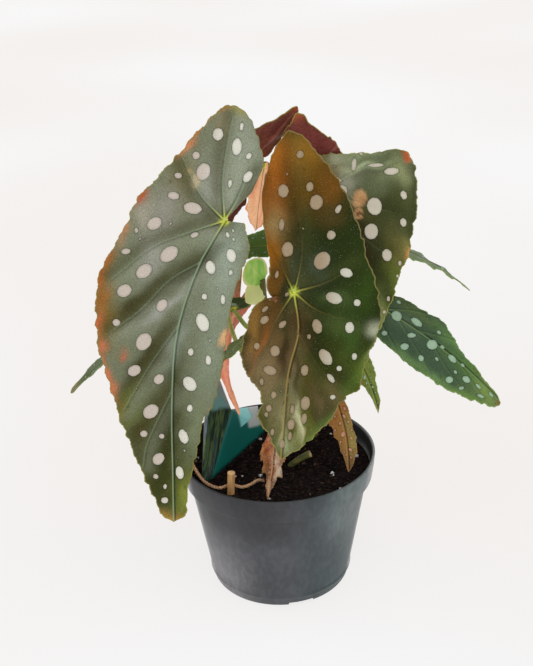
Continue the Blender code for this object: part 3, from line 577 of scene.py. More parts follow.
def on_blade(leaf, u, v, lift):
    """Where the flat point (u, v), raised by lift, lies on the bent blade."""
    joint, along, normal, curve, length = frame_of(leaf)
    cup, fold = (np.where(v < 0, *leaf.get(key, (0.0, 0.0))) for key in ("cup", "fold"))
    h = lift + fold * (np.hypot(v, 3) - 3) + cup * v * v / 100
    twist = math.radians(leaf.get("twist", 0)) * u / length
    side = v * np.cos(twist) - h * np.sin(twist)
    rise = v * np.sin(twist) + h * np.cos(twist)
    ahead = (1 / curve + rise) * np.sin(curve * u)
    out = rise * np.cos(curve * u) - (1 - np.cos(curve * u)) / curve
    return joint + np.outer(ahead, along) + np.outer(side, np.cross(normal, along)) + np.outer(out, normal)


def spread(leaf, x, y):
    """Where a grid's places, -1 to 1 both ways, lie on the flat blade.

    With each place come its shares of the way out and along, its count of lobes and the width there.
    """
    share, t = (x + 1) / 2, np.abs(y)
    flat, count, reach = np.empty((len(x), 2)), np.empty(len(x)), np.empty(len(x))
    even = np.linspace(0, 1, EDGE_STEPS)
    for side, edge in ((y < 0, leaf["left"]), (y >= 0, leaf["right"])):
        line = smooth_line(edge, even)
        # Up to here the spokes fan out from the joint; past it they leave the rib one by one.
        fan_end = np.argmax(line[:, 0] > FAN_REACH * line[-1, 0]) / (EDGE_STEPS - 1)
        beyond = (share[side] - FAN) / (1 - FAN)
        along = np.where(beyond < 0, fan_end * share[side] / FAN, fan_end + (1 - fan_end) * beyond)
        ends = np.stack([np.interp(along, even, column) for column in line.T], axis=1)
        rib = smooth_line(leaf["rib"], np.clip(beyond, 0, 1))
        run = along * np.linalg.norm(np.diff(line, axis=0), axis=1).sum()
        teeth = (0.55 * np.sin(run / 2.1 + 1.5 * np.sin(run / 5.3)) + 0.16 * np.sin(run / 0.37)
                 + 0.3 * np.sin(run / 0.9 + np.sin(run / 3))) * leaf.get("frill", 1.0)
        width = np.linalg.norm(ends - rib, axis=1)
        grow = t[side] * (1 + teeth * t[side]**4 * np.minimum(1, width / 8) / np.maximum(width, 1))
        flat[side] = rib + (ends - rib) * grow[:, None]
        count[side] = LOBES * (along - fan_end) / (1 - fan_end)
        reach[side] = width
    return flat, t, share, count, reach


def gap_to(flat, line, shift=0.0):
    """Distance from each flat point to a line, moved sideways by shift."""
    line = smooth_line(line, 16)
    line = line + shift * unit(np.gradient(line, axis=0))[:, ::-1] * (-1, 1)
    near = np.full(len(flat), FAR)
    for a, b in zip(line, line[1:]):
        along = np.clip((flat - a) @ (b - a) / ((b - a) @ (b - a) + 1e-9), 0, 1)
        near = np.minimum(near, np.linalg.norm(flat - a - along[:, None] * (b - a), axis=1))
    return near


def from_centre(u, v, at_u, at_v, turn):
    """How far places lie from a centre, along and across an oval turned by some degrees."""
    cosine, sine = math.cos(math.radians(turn)), math.sin(math.radians(turn))
    return (u - at_u) * cosine + (v - at_v) * sine, (v - at_v) * cosine - (u - at_u) * sine


def gap_to_spots(flat, spots):
    """Distance from each flat point to the nearest spot's edge, less than 0 inside it.

    A spot is its place along and across, its length and width, and any turn in degrees.
    """
    near = np.full(len(flat), 9.0)
    for u, v, length, width, *turn in spots:
        along, across = from_centre(*flat.T, u, v, *turn or (0,))
        share = np.hypot(along / (length / 2), across / (width / 2))
        near = np.minimum(near, (share - 1) * min(length, width) / 2 * 1.1)
    return near


def seeded_spots(leaf):
    """The listed spots, and more at random places kept apart from them, larger in the middle of the blade."""
    count, size, seed = leaf["dots"]
    rng = np.random.default_rng(seed)
    spots = list(leaf.get("spots", ()))
    count += len(spots)
    for _ in range(TRIES):
        if len(spots) == count:
            break
        x, y = rng.uniform(-0.7, 0.85), rng.choice((-1, 1)) * rng.uniform(0.2, 0.86)
        (place,), _, _, _, (width,) = spread(leaf, np.array([x]), np.array([y]))
        big = size * rng.uniform(0.45, 1.0) * (1.25 - abs(y)) * (1.1 - 0.6 * max(0.0, x))
        if width > 3 and all(math.dist(place, spot[:2]) > 0.9 * (big + spot[2]) for spot in spots):
            spots.append((*place, big * 1.25, big * 0.8, math.copysign(35, y)))
    return spots


def toward(colours, shade, over):
    """The colour of each place, brought toward a shade by that place's share."""
    return colours + (np.array(tint(*shade)) - colours) * over[:, None]


def washed(flat, base, washes):
    """A base colour under washes: along, across, length, width, colour, then any turn and crispness."""
    u = flat[:, 0] + 1.1 * np.sin(flat[:, 1] / 3.1 + flat[:, 0] / 7) + 0.6 * np.sin(flat[:, 0] / 1.9)
    v = flat[:, 1] + 0.8 * np.sin(flat[:, 0] / 2.7 + 1) + 0.5 * np.sin(flat[:, 1] / 1.3 + flat[:, 0] / 3)
    colours = np.tile(tint(*base), (len(flat), 1))
    for at_u, at_v, length, width, shade, *more in washes:
        turn, crisp = more + [0, 1][len(more):]
        a, b = from_centre(u, v, at_u, at_v, turn)
        colours = toward(colours, shade, np.exp(-((a / length) ** 2 + (b / width) ** 2) ** crisp))
    return colours


def vein_net(flat, scale, width):
    """The mesh of fine veins: 1 on its lines."""
    gap = flat.node("ShaderNodeTexVoronoi", {"feature": "DISTANCE_TO_EDGE"}, {"Vector": flat, "Scale": scale})
    return 1 - soft(gap, 0.0, width)


def leaf_skin(name, spot, hem, roughness=0.42, far_spot=None, turn_at=(0.0, 1.0), glow=0.0):
    """The upper skin: washes, a net of fine veins, fading main veins, silvery spots and the hem."""
    # glow: emission of the skin's own colour, painted light standing in for light shining through the leaf.
    made, shader, place = finish(name, Specular_IOR_Level=0.05, Emission_Strength=glow)
    flat = attribute(place, "flat", "Vector")
    grain, mottle, dust = cloud(flat, 1.3, 5), cloud(flat, 0.17, 3), cloud(flat, 3.2, 3)
    net = vein_net(flat, 0.5, 0.1)
    edge = attribute(place, "spot") + 0.8 * cloud(flat, 0.6, 3) - 0.4
    spots = 1 - soft(edge, -0.2, 0.2)
    halo = (1 - soft(edge, 0.1, 0.9)) * (1 - spots)
    bold = attribute(place, "ray", "Alpha")
    line = (1 - soft(attribute(place, "vein"), 0.15, 0.75)) * bold
    groove = (1 - soft(attribute(place, "groove"), 0.1, 0.9)) * bold
    rim = 1 - soft(attribute(place, "margin") + 0.6 * grain, 0.6, 1.25)
    fine, coarse = soft(grain, 0.36, 0.64), soft(dust, 0.36, 0.64)
    body = attribute(place, "tone", "Color")
    body = dim(body, 0.64 + 0.26 * fine + 0.3 * mottle + 0.2 * coarse - 0.1 * net)
    body = mix(0.35 * soft(cloud(flat, 1.9, 1), 0.7, 0.76), body, (226, 224, 206))
    # groove darkens a line along one side of each vein: painted shade in its sunken groove.
    body = dim(body, 1 - 0.8 * groove - 0.35 * halo)
    body = mix(line, body, attribute(place, "ray", "Color"))
    speck = mix(soft(flat.part("Y"), *turn_at), spot, far_spot or spot)
    speck = dim(dim(speck, 1.12 - 0.16 * soft(edge, -1.1, -0.35)), 0.45 + 0.6 * dust + 0.5 * grain)
    skin = mix(0.65 * rim, mix(0.95 * spots, body, speck), hem)
    relief = 0.6 * grain + 0.35 * mottle - 0.4 * net + 0.5 * spots - 0.6 * groove + 0.5 * dust
    wire(shader, Base_Color=skin, Emission_Color=skin, Normal=bumped(relief, 0.22),
         Roughness=roughness - 0.1 + 0.2 * grain + 0.08 * spots)
    return made


def under_skin(name, vein, roughness=0.5, glow=0.0):
    """The underside: its own washes, raised veins, and the spots showing faintly through."""
    # glow: emission of the underside's own colour, painted light standing in for light shining through the
    # leaf.
    made, shader, place = finish(name, Specular_IOR_Level=0.06, Emission_Strength=glow)
    flat = attribute(place, "flat", "Vector")
    grain, dust, net = cloud(flat, 0.8, 5), cloud(flat, 3.0, 3), vein_net(flat, 0.3, 0.2)
    line = 1 - soft(attribute(place, "vein"), 0.3, 1.3)
    spots = 1 - soft(attribute(place, "spot"), -0.6, 0.5)
    body = mix(0.6 * line + 0.15 * net, attribute(place, "back", "Color"), vein)
    body = dim(body, 0.5 + 0.55 * grain + 0.4 * dust + 0.2 * spots)
    wire(shader, Base_Color=body, Emission_Color=body,
         Roughness=roughness - 0.1 + 0.2 * grain, Normal=bumped(line + 0.5 * net + 0.5 * grain, 0.35))
    return made


def blade_lift(leaf, grid, flat, t, share, count, reach, near, spine):
    """How far each place stands off the blade's sheet: pads, pleats, waves and sunken veins."""
    wing = np.sin(math.pi * t)
    pads = leaf.get("quilt", 1.0) * (1 - hump(near, 8)) * (1 - hump(spine, 9)) * wing ** 0.5
    pleat = leaf["pleat"] * wing * (0.5 - 0.5 * np.cos(math.tau * count))
    wave = leaf["wave"] * t**3 * np.sin(math.tau * count * np.where(grid[:, 1] < 0, 1.0, 0.8) + 1)
    ripple = 0.22 * leaf["wave"] * t**6 * np.sin(math.tau * count * 2.7 + 2)
    quilted = 0.35 * pleat + pads if "veins" in leaf else pleat
    lift = (quilted + wave + ripple) * np.minimum(1, 6 * (1 - share))
    lift -= 0.3 * hump(np.minimum(near, spine), 0.9) * np.minimum(1, reach / 12)
    lift += 0.5 * hump(np.hypot(*flat.T), 2.2)
    u, v = flat.T
    return lift + leaf.get("crumple", 0.0) * t * (np.sin(u / 1.7 + v) + np.sin(v / 0.9 - u / 3))


def blade_colours(leaf, flat, near, spine):
    """The skin's colour, the veins' colour and how bold they are, and the underside's colour."""
    tone = washed(flat, leaf["base"], leaf.get("washes", ()))
    # Beside each vein, valley paints shade on one side, where the quilted pad slopes away from the overhead
    # light, and ridge paints light on the other side, where the pad faces it.
    for line in leaf.get("veins", ()):
        (start_u, _), (end_u, end_v) = line[0], line[-1]
        outer = math.copysign(1, end_v) * math.copysign(1, end_u - start_u)
        for key, shift, width in (("valley", 3.0, 4.5), ("ridge", -3.5, 4.0)):
            if key in leaf:
                shade, depth = leaf[key]
                tone = toward(tone, shade, depth * hump(gap_to(flat, line, outer * shift), width))
    away = np.hypot(*flat.T)
    tone = toward(tone, (206, 214, 80), np.exp(-((away / 2.6) ** 4)))
    ray = toward(np.array(tint(*leaf["vein_tint"])), (204, 212, 84), hump(away, 8))
    bold = np.where(spine < near, RIB_BOLD, leaf.get("vein_bold", 0.25) + 0.7 * np.exp(-away / 9))
    back = washed(flat, leaf.get("under", (132, 66, 54)), leaf.get("under_washes", ()))
    return {"tone": tone, "ray": ray, "back": back}, np.minimum(1, bold)


def make_blade(name, leaf, top, under):
    """A grid whose columns are spokes from the rib to the edge, quilted, waved and bent."""
    steps, rows = leaf["grid"]
    bm = bmesh.new()
    bmesh.ops.create_grid(bm, x_segments=steps, y_segments=2 * rows, size=1.0)
    grid = np.array([vert.co for vert in bm.verts])
    flat, t, share, count, reach = spread(leaf, grid[:, 0], grid[:, 1])
    lines = [leaf["rib"], *leaf.get("veins", ())]
    spine = gap_to(flat, leaf["rib"])
    near = np.minimum.reduce([gap_to(flat, line) for line in lines[1:]] + [np.full(len(flat), FAR)])
    lift = blade_lift(leaf, grid, flat, t, share, count, reach, near, spine)
    shades, bold = blade_colours(leaf, flat, near, spine)
    values = {"spot": gap_to_spots(flat, seeded_spots(leaf)), "vein": np.minimum(near, spine),
              "groove": np.minimum.reduce([gap_to(flat, line, 0.9) for line in lines]),
              "margin": (1 - t) * reach}
    value_layers = {key: bm.verts.layers.float.new(key) for key in values}
    shade_layers = {key: bm.verts.layers.float_color.new(key) for key in shades}
    flats = bm.verts.layers.float_vector.new("flat")
    for k, (vert, place) in enumerate(zip(bm.verts, on_blade(leaf, *flat.T, lift))):
        vert.co = place * MM
        vert[flats] = (*flat[k], 0.0)
        for key, layer in value_layers.items():
            vert[layer] = values[key][k]
        for key, layer in shade_layers.items():
            vert[layer] = (*shades[key][k], bold[k])
    bmesh.ops.remove_doubles(bm, verts=bm.verts, dist=0.02 * MM)
    shell = thicken(piece(f"{name}_blade", bm, [top, under], name), BLADE)
    shell.material_offset, shell.use_even_offset = 1, False


def make_stalk(name, leaf, skin):
    """The fleshy stalk, from under the blade's joint to a node of its cane, flared at both ends."""
    joint, along, normal, _, _ = frame_of(leaf)
    cane, height = leaf["stalk"]
    root = cane_at(cane, height)
    way = unit(np.array(leaf["way"], float) if "way" in leaf else (joint - root) * (1, 1, 0))
    foot = root + way * (cane_radius(cane, height) + FOOT_GAP)
    reach = np.linalg.norm(joint - foot)
    start = joint + normal * 0.3
    back, down, out = leaf.get("bow", (0.35, 0.1, 0.4))
    near = joint - normal * reach * back - along * reach * down
    far = foot + way * out * reach
    t = np.linspace(0, 1, STALK_STEPS)[:, None]
    line = start * (1 - t)**3 + near * 3 * t * (1 - t)**2 + far * 3 * t * t * (1 - t) + foot * t**3
    line = np.vstack([line, root + way * 1.2])
    t = np.append(t[:, 0], 1.0)
    bm = bmesh.new()
    radius = STALK_RADIUS * leaf.get("stalk_size", 1.0)
    rod(bm, line, radius * (0.92 + 0.3 * (2 * t - 1)**6), STALK_SIDES)
    piece(f"{name}_stalk", bm, [skin], name)


def make_leaf(name, leaf, top, under, skin):
    """A blade on its stalk."""
    make_blade(name, leaf, top, under)
    make_stalk(name, leaf, skin)


def stalk_skin(name, colour, other):
    """The stalk's streaked skin."""
    made, shader, place = finish(name, Roughness=0.4)
    streak = cloud(place, 240, 4, (1, 1, 0.3))
    wire(shader, Base_Color=mix(soft(streak, 0.35, 0.68), colour, other), Normal=bumped(streak, 0.15))
    return made


green_stalk = stalk_skin("stalk_green", (150, 180, 66), (202, 204, 106))
red_under = under_skin("red_underside", (158, 96, 88))

# A leaf's joint, tip and face say where its blade hangs, which way it looks and, with droop, how far
# it bends. All its other places are on the flat blade: along it from the joint, then across it.
LEFT_LEAF = {
    "joint": (-25, -30, 247), "tip": (-58, -62, 78), "face": (0.05, -1, 0.15), "droop": 22,
    "left": [
        (-17, 12), (-32, 16), (-45, 12.5), (-57.6, 5), (-61.8, -2), (-58.8, -10.5), (-47, -19.5),
        (-26, -33), (-5, -47.5), (12, -52.5), (33, -61), (47, -63), (75, -58.5), (105, -46.5), (133, -33),
        (160, -18), (173, -11), (178, -3),
    ],
    "right": [
        (0, 10), (14, 15), (40, 10), (70, 10), (90, 9.5), (103, 8), (112, 4.5), (130, 3.5), (155, 2),
        (172, 3), (178, -3),
    ],
    "rib": [(0, 0), (28, -11), (65, -17), (105, -14), (145, -8), (178, -3)], "cup": (-0.05, -0.05),
    "fold": (0.0, 0.05), "wave": 1.6, "pleat": 1.5, "grid": (300, 40), "quilt": 2.2,
    "stalk": ("cane_left", 142), "way": (-0.8, -0.6, 0), "bow": (0.12, 0.1, 0.4),
    "veins": [
        [(0, 0), (-21, -4), (-43, -4), (-56, -3)], [(0, 0), (-10, -13), (-19, -20), (-30, -27)],
        [(0, 0), (10, -20), (20, -37), (40, -56)], [(24, -10), (36, -25), (54, -38), (68, -52)],
        [(60, -17), (84, -29), (112, -40)], [(96, -15), (128, -24), (144, -25)],
        [(0, 0), (-12, 5), (-30, 10)],
    ],
    "vein_tint": (140, 164, 130), "valley": ((74, 74, 42), 0.6), "ridge": ((168, 174, 150), 0.16),
    "base": (120, 125, 100),
    # In these washes the pale grey-green patches and thin pale streaks are painted sheen and painted
    # highlights, and the dark diagonal bands along the veins are painted shade in the pleats; the olive,
    # yellow, orange and brown patches are the leaf's own colour.
    "washes": [
        (156, -8, 62, 44, (66, 70, 28)), (-20, -26, 18, 9, (114, 108, 74)),
        (-34, 6, 28, 10, (146, 152, 132)), (-14, -10, 16, 7, (150, 152, 138)),
        (22, -36, 16, 7, (150, 150, 138)), (0, -32, 14, 8, (142, 140, 126)),
        (22, 4, 30, 8, (150, 160, 142)), (30, -17, 22, 5, (50, 52, 28), -48, 1.5),
        (54, -42, 19, 6.5, (56, 52, 22), -44, 1.5), (82, -30, 24, 6.5, (50, 46, 16), -28, 1.5),
        (118, -27, 22, 6, (64, 60, 20), -26), (120, -15, 44, 6, (52, 54, 18), 0, 1.5),
        (50, -25, 18, 3, (150, 152, 140), -45), (68, -16, 18, 4, (120, 128, 112), -12),
        (76, 3, 40, 7, (130, 138, 116)), (112, 2, 22, 5, (116, 124, 94)), (160, 1, 14, 5, (120, 128, 52)),
        (118, -36, 16, 4, (92, 98, 50), -28), (64, -56, 16, 7, (112, 94, 40)),
        (112, -42, 18, 3, (112, 118, 30), -25), (34, -60, 44, 4, (132, 108, 58), -3),
        (2, -43, 9, 5, (158, 152, 134)), (-50, -8, 6, 4, (150, 140, 112)),
        (-19, -18, 3.5, 2.6, (206, 186, 148), 20, 2), (-22, -23, 2, 2, (190, 160, 108)),
        (-61, 2, 3.5, 14, (156, 148, 84)), (-61, -9, 2.5, 8, (192, 122, 62), 40),
        (-48, -20, 2.5, 8, (196, 112, 52), 55, 2), (-36, -27, 7, 4, (204, 128, 84), -40, 2),
        (-8, -46, 7, 2.4, (186, 84, 46), -22), (10, -53, 8, 2.2, (192, 130, 92)),
        (36, -62, 14, 2.6, (188, 96, 42), -14), (52, -59, 9, 4, (150, 100, 46)),
        (66, -60, 6, 3, (196, 104, 62)), (76, -56, 4, 2.4, (190, 112, 76)),
        (92, -54, 15, 3.4, (208, 112, 72), 22, 2), (100, -48, 10, 3, (200, 118, 78), 25),
        (80, -44, 3, 2.2, (172, 104, 76)), (107, 8.5, 3, 1.4, (210, 150, 112)),
        (62, 9, 5, 3, (214, 170, 120), 0, 2), (176, -4, 4, 10, (172, 134, 66)),
    ],
    "spots": [
        (-45, -10, 6.5, 5.5, -6), (-40, 1, 9, 5, 3), (-51, 2, 4, 2), (-36, 8, 3.6, 2.6, -30),
        (-32, -20, 4, 4), (-24, -15, 9, 7, -10), (-25, 9, 6.4, 4.2, -25), (-20, 0, 4, 2),
        (-20, -28, 4, 3, -80), (-9, -29, 6, 4, -90), (-4, -18, 9.5, 6, -92), (7, -37, 8, 6, -50),
        (12, -46, 3, 2), (10, -15, 4.4, 2.6, -60), (24, -50, 5, 3, -75), (22, -27, 10.5, 7, -45),
        (26, -4, 7.2, 5, 25), (18, 6, 7, 4.8, 20), (33, -39, 9.2, 6.4, -45), (27, 7, 3, 2),
        (45, -48, 8, 6.4, -50), (42, -5, 3, 3), (42, 5, 5, 2.4, 10), (50, -27, 7, 5, -25),
        (56, -4, 10, 6.4, 28), (63, -50, 4, 4), (71, -34, 10, 7.6, -20), (76, 2, 5, 3, 10), (73, -8, 4, 3),
        (88, -37, 7.4, 6, -45), (91, -23, 6, 5, -35), (91, -6, 8.6, 6.8, 40), (110, -25, 9, 7.6, -35),
        (105, -4, 4, 3), (124, -27, 4, 4), (122, -5, 8.4, 5, 25), (124, -17, 3, 3),
        (138, -17, 7.6, 6, -20), (145, -4, 8, 4.4, 16), (149, -17, 3, 3), (155, -11, 3, 2),
        (164, -10, 4, 4),
    ],
    "dots": (16, 2.2, 4),
}
FRONT_LEAF = {
    "joint": (11, -42, 209), "tip": (1, -60, 114), "face": (0.1, -0.95, 0.3), "droop": 10,
    "left": [
        (6, -10), (4.8, -13.5), (5.5, -17), (12, -21.5), (25, -25), (36, -26), (46, -24), (55, -16),
        (63, -13), (72, -14), (84, -7), (97, 0),
    ],
    "right": [
        (4, -9), (2.6, -12), (0, -14.3), (-4, -15), (-10, -13.5), (-26, -16), (-49, -20), (-72, -16),
        (-86, -8), (-82, 2), (-66, 17), (-47, 29), (-22, 39), (0, 47), (15, 49), (35, 44), (52, 40),
        (59, 33), (72, 25), (86, 14), (97, 0),
    ],
    "rib": [(0, 0), (22, 4), (48, 0), (97, 0)], "cup": (-0.1, -0.05), "fold": (-0.1, 0.0), "wave": 1.4,
    "pleat": 1.4, "grid": (280, 36), "quilt": 2.0, "stalk": ("cane_centre", 165),
    "under_washes": [(3, -15, 7, 6, (92, 74, 34), 0, 2)],
    "veins": [
        [(0, 0), (-9, 2), (-26, 3), (-47, -1), (-63, -4), (-82, -7)], [(0, 0), (-9, -5), (-22, -11)],
        [(0, 0), (-6, 17), (-16, 34)], [(0, 0), (10, 15), (16, 40)],
        [(0, 0), (17, -9), (34, -14), (46, -20)], [(21, 3), (43, 19), (54, 36)],
        [(48, 0), (64, 10), (76, 20)], [(58, 0), (70, -6), (78, -9)],
    ],
    "vein_tint": (158, 132, 72), "valley": ((30, 36, 10), 0.3), "ridge": ((104, 108, 64), 0.12),
    "vein_bold": 0.03, "base": (34, 44, 10),
    # In these washes the pale spot at the right edge and the thin pale lines near the tip are painted
    # highlights, and the thin dark lines beside them near the tip are painted shade on the flutes; the orange
    # and brown patches are the leaf's own colour.
    "washes": [
        (-74, 0, 16, 16, (134, 96, 28)), (-60, -13, 16, 8, (146, 80, 16)),
        (-45, -13, 14, 8, (134, 84, 34)), (-18, -13, 20, 7, (168, 100, 12)),
        (-76, -13, 10, 6, (164, 100, 30)), (-54, 3, 12, 10, (88, 60, 2)), (-58, 16, 12, 8, (110, 72, 20)),
        (-42, 18, 7, 7, (72, 60, 24)), (-30, -5, 12, 6, (70, 58, 18)), (-36, -12, 7, 6, (140, 116, 72)),
        (-8, -12, 8, 4, (96, 66, 20)), (-14, 0, 12, 4, (60, 66, 44)), (30, -12, 26, 12, (98, 72, 38)),
        (22, -20, 24, 3, (132, 98, 44)), (34, -17, 17, 1.6, (168, 98, 36), -16),
        (44, -14, 12, 10, (124, 102, 70)), (24, 4, 18, 7, (72, 52, 26)), (40, 2, 14, 5, (98, 78, 50)),
        (33, -3, 16, 2, (60, 42, 22), -6), (66, -6, 16, 12, (132, 122, 84)),
        (56, 5, 16, 4, (140, 128, 92)), (50, 12, 16, 4, (66, 60, 6), 12),
        (66, 12, 14, 4, (92, 92, 22), 15), (62, 18, 14, 4, (94, 80, 50), 20),
        (76, 22, 16, 3.4, (104, 132, 58), -40), (84, 6, 12, 10, (104, 106, 50)),
        (72, -13, 10, 4, (84, 84, 30)), (70, 7, 12, 1.6, (176, 176, 132), 10),
        (80, 0, 12, 1.5, (158, 156, 112), 4), (88, 3, 6, 4, (150, 156, 112)),
        (-4, 34, 26, 12, (44, 58, 16)), (14, 26, 10, 7, (60, 78, 32)),
        (18, 47, 4, 5, (168, 172, 146), 0, 1), (30, 46, 12, 2.2, (136, 146, 100), -24),
        (34, 32, 14, 8, (62, 70, 20)), (44, 41, 16, 4, (96, 116, 40), -20),
        (57, 27, 13, 6, (98, 86, 50), 30), (40, 20, 12, 5, (54, 58, 8)),
        (2, 22, 4, 10, (70, 88, 46), 0, 1), (-14, 12, 8, 6, (58, 66, 50)),
        (12, -4, 26, 1.6, (52, 44, 16), 4), (44, 5, 24, 2.2, (70, 62, 30), 2),
        (-2, 40, 16, 5, (48, 68, 18)), (22, 33, 13, 5, (54, 78, 30)), (48, 36, 10, 4, (78, 98, 36), -20),
        (79, 4, 9, 1.4, (84, 82, 30), 6), (76, 11, 10, 1.3, (90, 92, 26), 14),
        (73, 9, 12, 1, (196, 194, 150), 12),
    ],
    "spots": [
        (-74, -1, 4, 4), (-63, -7, 2, 2), (-57, 5, 5, 4), (-49, 9, 8, 7, -10), (-54, -9, 7, 6),
        (-46, 21, 5, 3, -25), (-36, -9, 6, 3), (-32, 18, 5, 5), (-23, -5, 8, 6), (-18, 14, 10, 8, -30),
        (-12, 28, 7, 5, 75), (-9, -10, 4, 2, -15), (2, 22, 9, 6, 75), (4, 35, 4, 4), (10, -15, 4, 2, -40),
        (16, -15, 5, 4, -40), (18, -5, 5, 3, -40), (18, 14, 8, 5, 20), (18, 32, 6, 5), (31, -18, 4, 3),
        (33, -8, 6, 5), (24, 10, 3, 2), (35, 20, 10, 6, 35), (34, 36, 4, 3), (44, -10, 7, 5, 75),
        (43, 9, 6, 4), (41, 28, 3, 3), (47, 24, 6, 3, 40), (51, -14, 4, 2), (58, -7, 4, 3), (62, 11, 8, 5),
        (58, 26, 3, 3), (66, -9, 4, 3), (66, 4, 5, 2), (70, -10, 3, 2), (71, 11, 6, 3), (75, 4, 6, 4),
        (80, -6, 4, 2), (82, 4, 5, 2), (87, 0, 5, 3),
    ],
    "dots": (16, 2.0, 9),
}
RIGHT_LEAF = {
    "joint": (32, 4, 251), "tip": (53, -12, 154), "face": (0.35, -0.9, 0.3), "droop": 20,
    "left": [(8, -11), (22, -16), (42, -14), (65, -11), (85, -6), (101, 0)],
    "right": [
        (1, -9), (-10, -13), (-20, -6), (-18, 12), (-12.5, 32), (-10.5, 47), (-5, 55), (5, 56.5),
        (20, 52.5), (38, 45), (57, 33), (76, 20), (90, 10), (101, 0),
    ],
    "rib": [(0, 0), (30, 6), (70, 5), (101, 0)], "cup": (-0.05, 0.0), "wave": 1.2, "pleat": 1.2,
    "grid": (230, 30), "quilt": 1.6, "stalk": ("cane_right", 220),
    "veins": [
        [(0, 0), (-3, 9), (-5, 23), (-7, 37), (-9, 50)], [(0, 0), (14, 18), (24, 36)],
        [(20, 5), (40, 20), (52, 33)], [(50, 6), (64, 14), (74, 20)], [(0, 0), (-10, -4), (-17, -8)],
    ],
    "vein_tint": (168, 182, 124), "valley": ((36, 40, 18), 0.25), "vein_bold": 0.04, "base": (44, 52, 18),
    # In these washes the pale spot beside the joint is a painted highlight, and the broad dark wash along the
    # rib at mid length is a painted shadow cast by the front leaf.
    "washes": [
        (-14, 24, 7, 40, (132, 142, 104)), (-6, 24, 1.6, 26, (176, 190, 146), -6),
        (1, 12, 8, 14, (150, 152, 124)), (2, 40, 7, 14, (126, 132, 98)), (-10, 2, 10, 9, (112, 84, 32)),
        (8, 26, 8, 14, (96, 104, 72)), (18, 45, 12, 12, (70, 76, 40)), (20, 12, 8, 10, (88, 80, 38)),
        (34, 12, 16, 6, (46, 34, 12)), (44, -2, 30, 10, (30, 42, 12)), (28, 26, 14, 9, (66, 68, 36)),
        (36, 38, 10, 8, (74, 78, 44)), (48, 32, 12, 7, (102, 98, 48)), (62, 28, 12, 6, (92, 104, 40)),
        (78, 14, 16, 6, (104, 116, 60)), (88, 4, 14, 8, (64, 82, 22)), (-1, 12, 5, 5, (172, 174, 150)),
        (-15, 12, 6, 6, (148, 150, 120)), (2, 47, 9, 5, (138, 144, 100)), (48, 37, 7, 4, (138, 130, 72)),
        (80, 13, 9, 4, (122, 130, 74)), (-6, 53, 4, 3, (196, 96, 58), 0, 2),
        (50, 39, 4, 2.5, (206, 140, 84), 0, 2), (11, 17, 5.5, 4.6, (214, 166, 116), 0, 4),
        (19, 14.5, 2.7, 2.7, (204, 158, 110), 0, 4), (19, 14.5, 1.4, 1.4, (96, 66, 30), 0, 3),
        (12, 18, 2.6, 1.8, (196, 142, 84), 0, 1),
    ],
    "spots": [
        (-9, 20, 7, 3, -20), (-5, 33, 9, 2, 75), (1, 41, 9, 4, 80), (-4, 7, 7, 3, 60), (3, 9, 6, 5),
        (16, 44, 5, 4), (31, 40, 5, 4), (17, 25, 10, 9), (30, 19, 9, 8), (46, 25, 7, 6), (53, 32, 3, 2),
        (60, 29, 2, 2), (71, 20, 3, 2), (78, 16, 2, 2), (-14, 26, 3, 2), (-12, 40, 3, 2),
    ],
    "dots": (8, 1.8, 2),
}
left_skin = leaf_skin("left_leaf_skin", (190, 178, 166), (150, 142, 60), 0.42, (212, 210, 196), (-18, -4))
front_skin = leaf_skin("front_leaf_skin", (156, 138, 112), (156, 144, 84), 0.34, (196, 194, 178), (12, 30))
right_skin = leaf_skin("right_leaf_skin", (196, 188, 170), (168, 166, 84))
for name, leaf, skin in (("leaf_left", LEFT_LEAF, left_skin), ("leaf_front", FRONT_LEAF, front_skin),
                         ("leaf_right", RIGHT_LEAF, right_skin)):
    make_leaf(name, leaf, skin, red_under, green_stalk)


# ---------------------------------------------------------------- side leaves
# Younger, narrower blades at the sides and low down: livelier green, thickly dotted with small pale
# spots. They reach out or hang from nodes of all three canes.

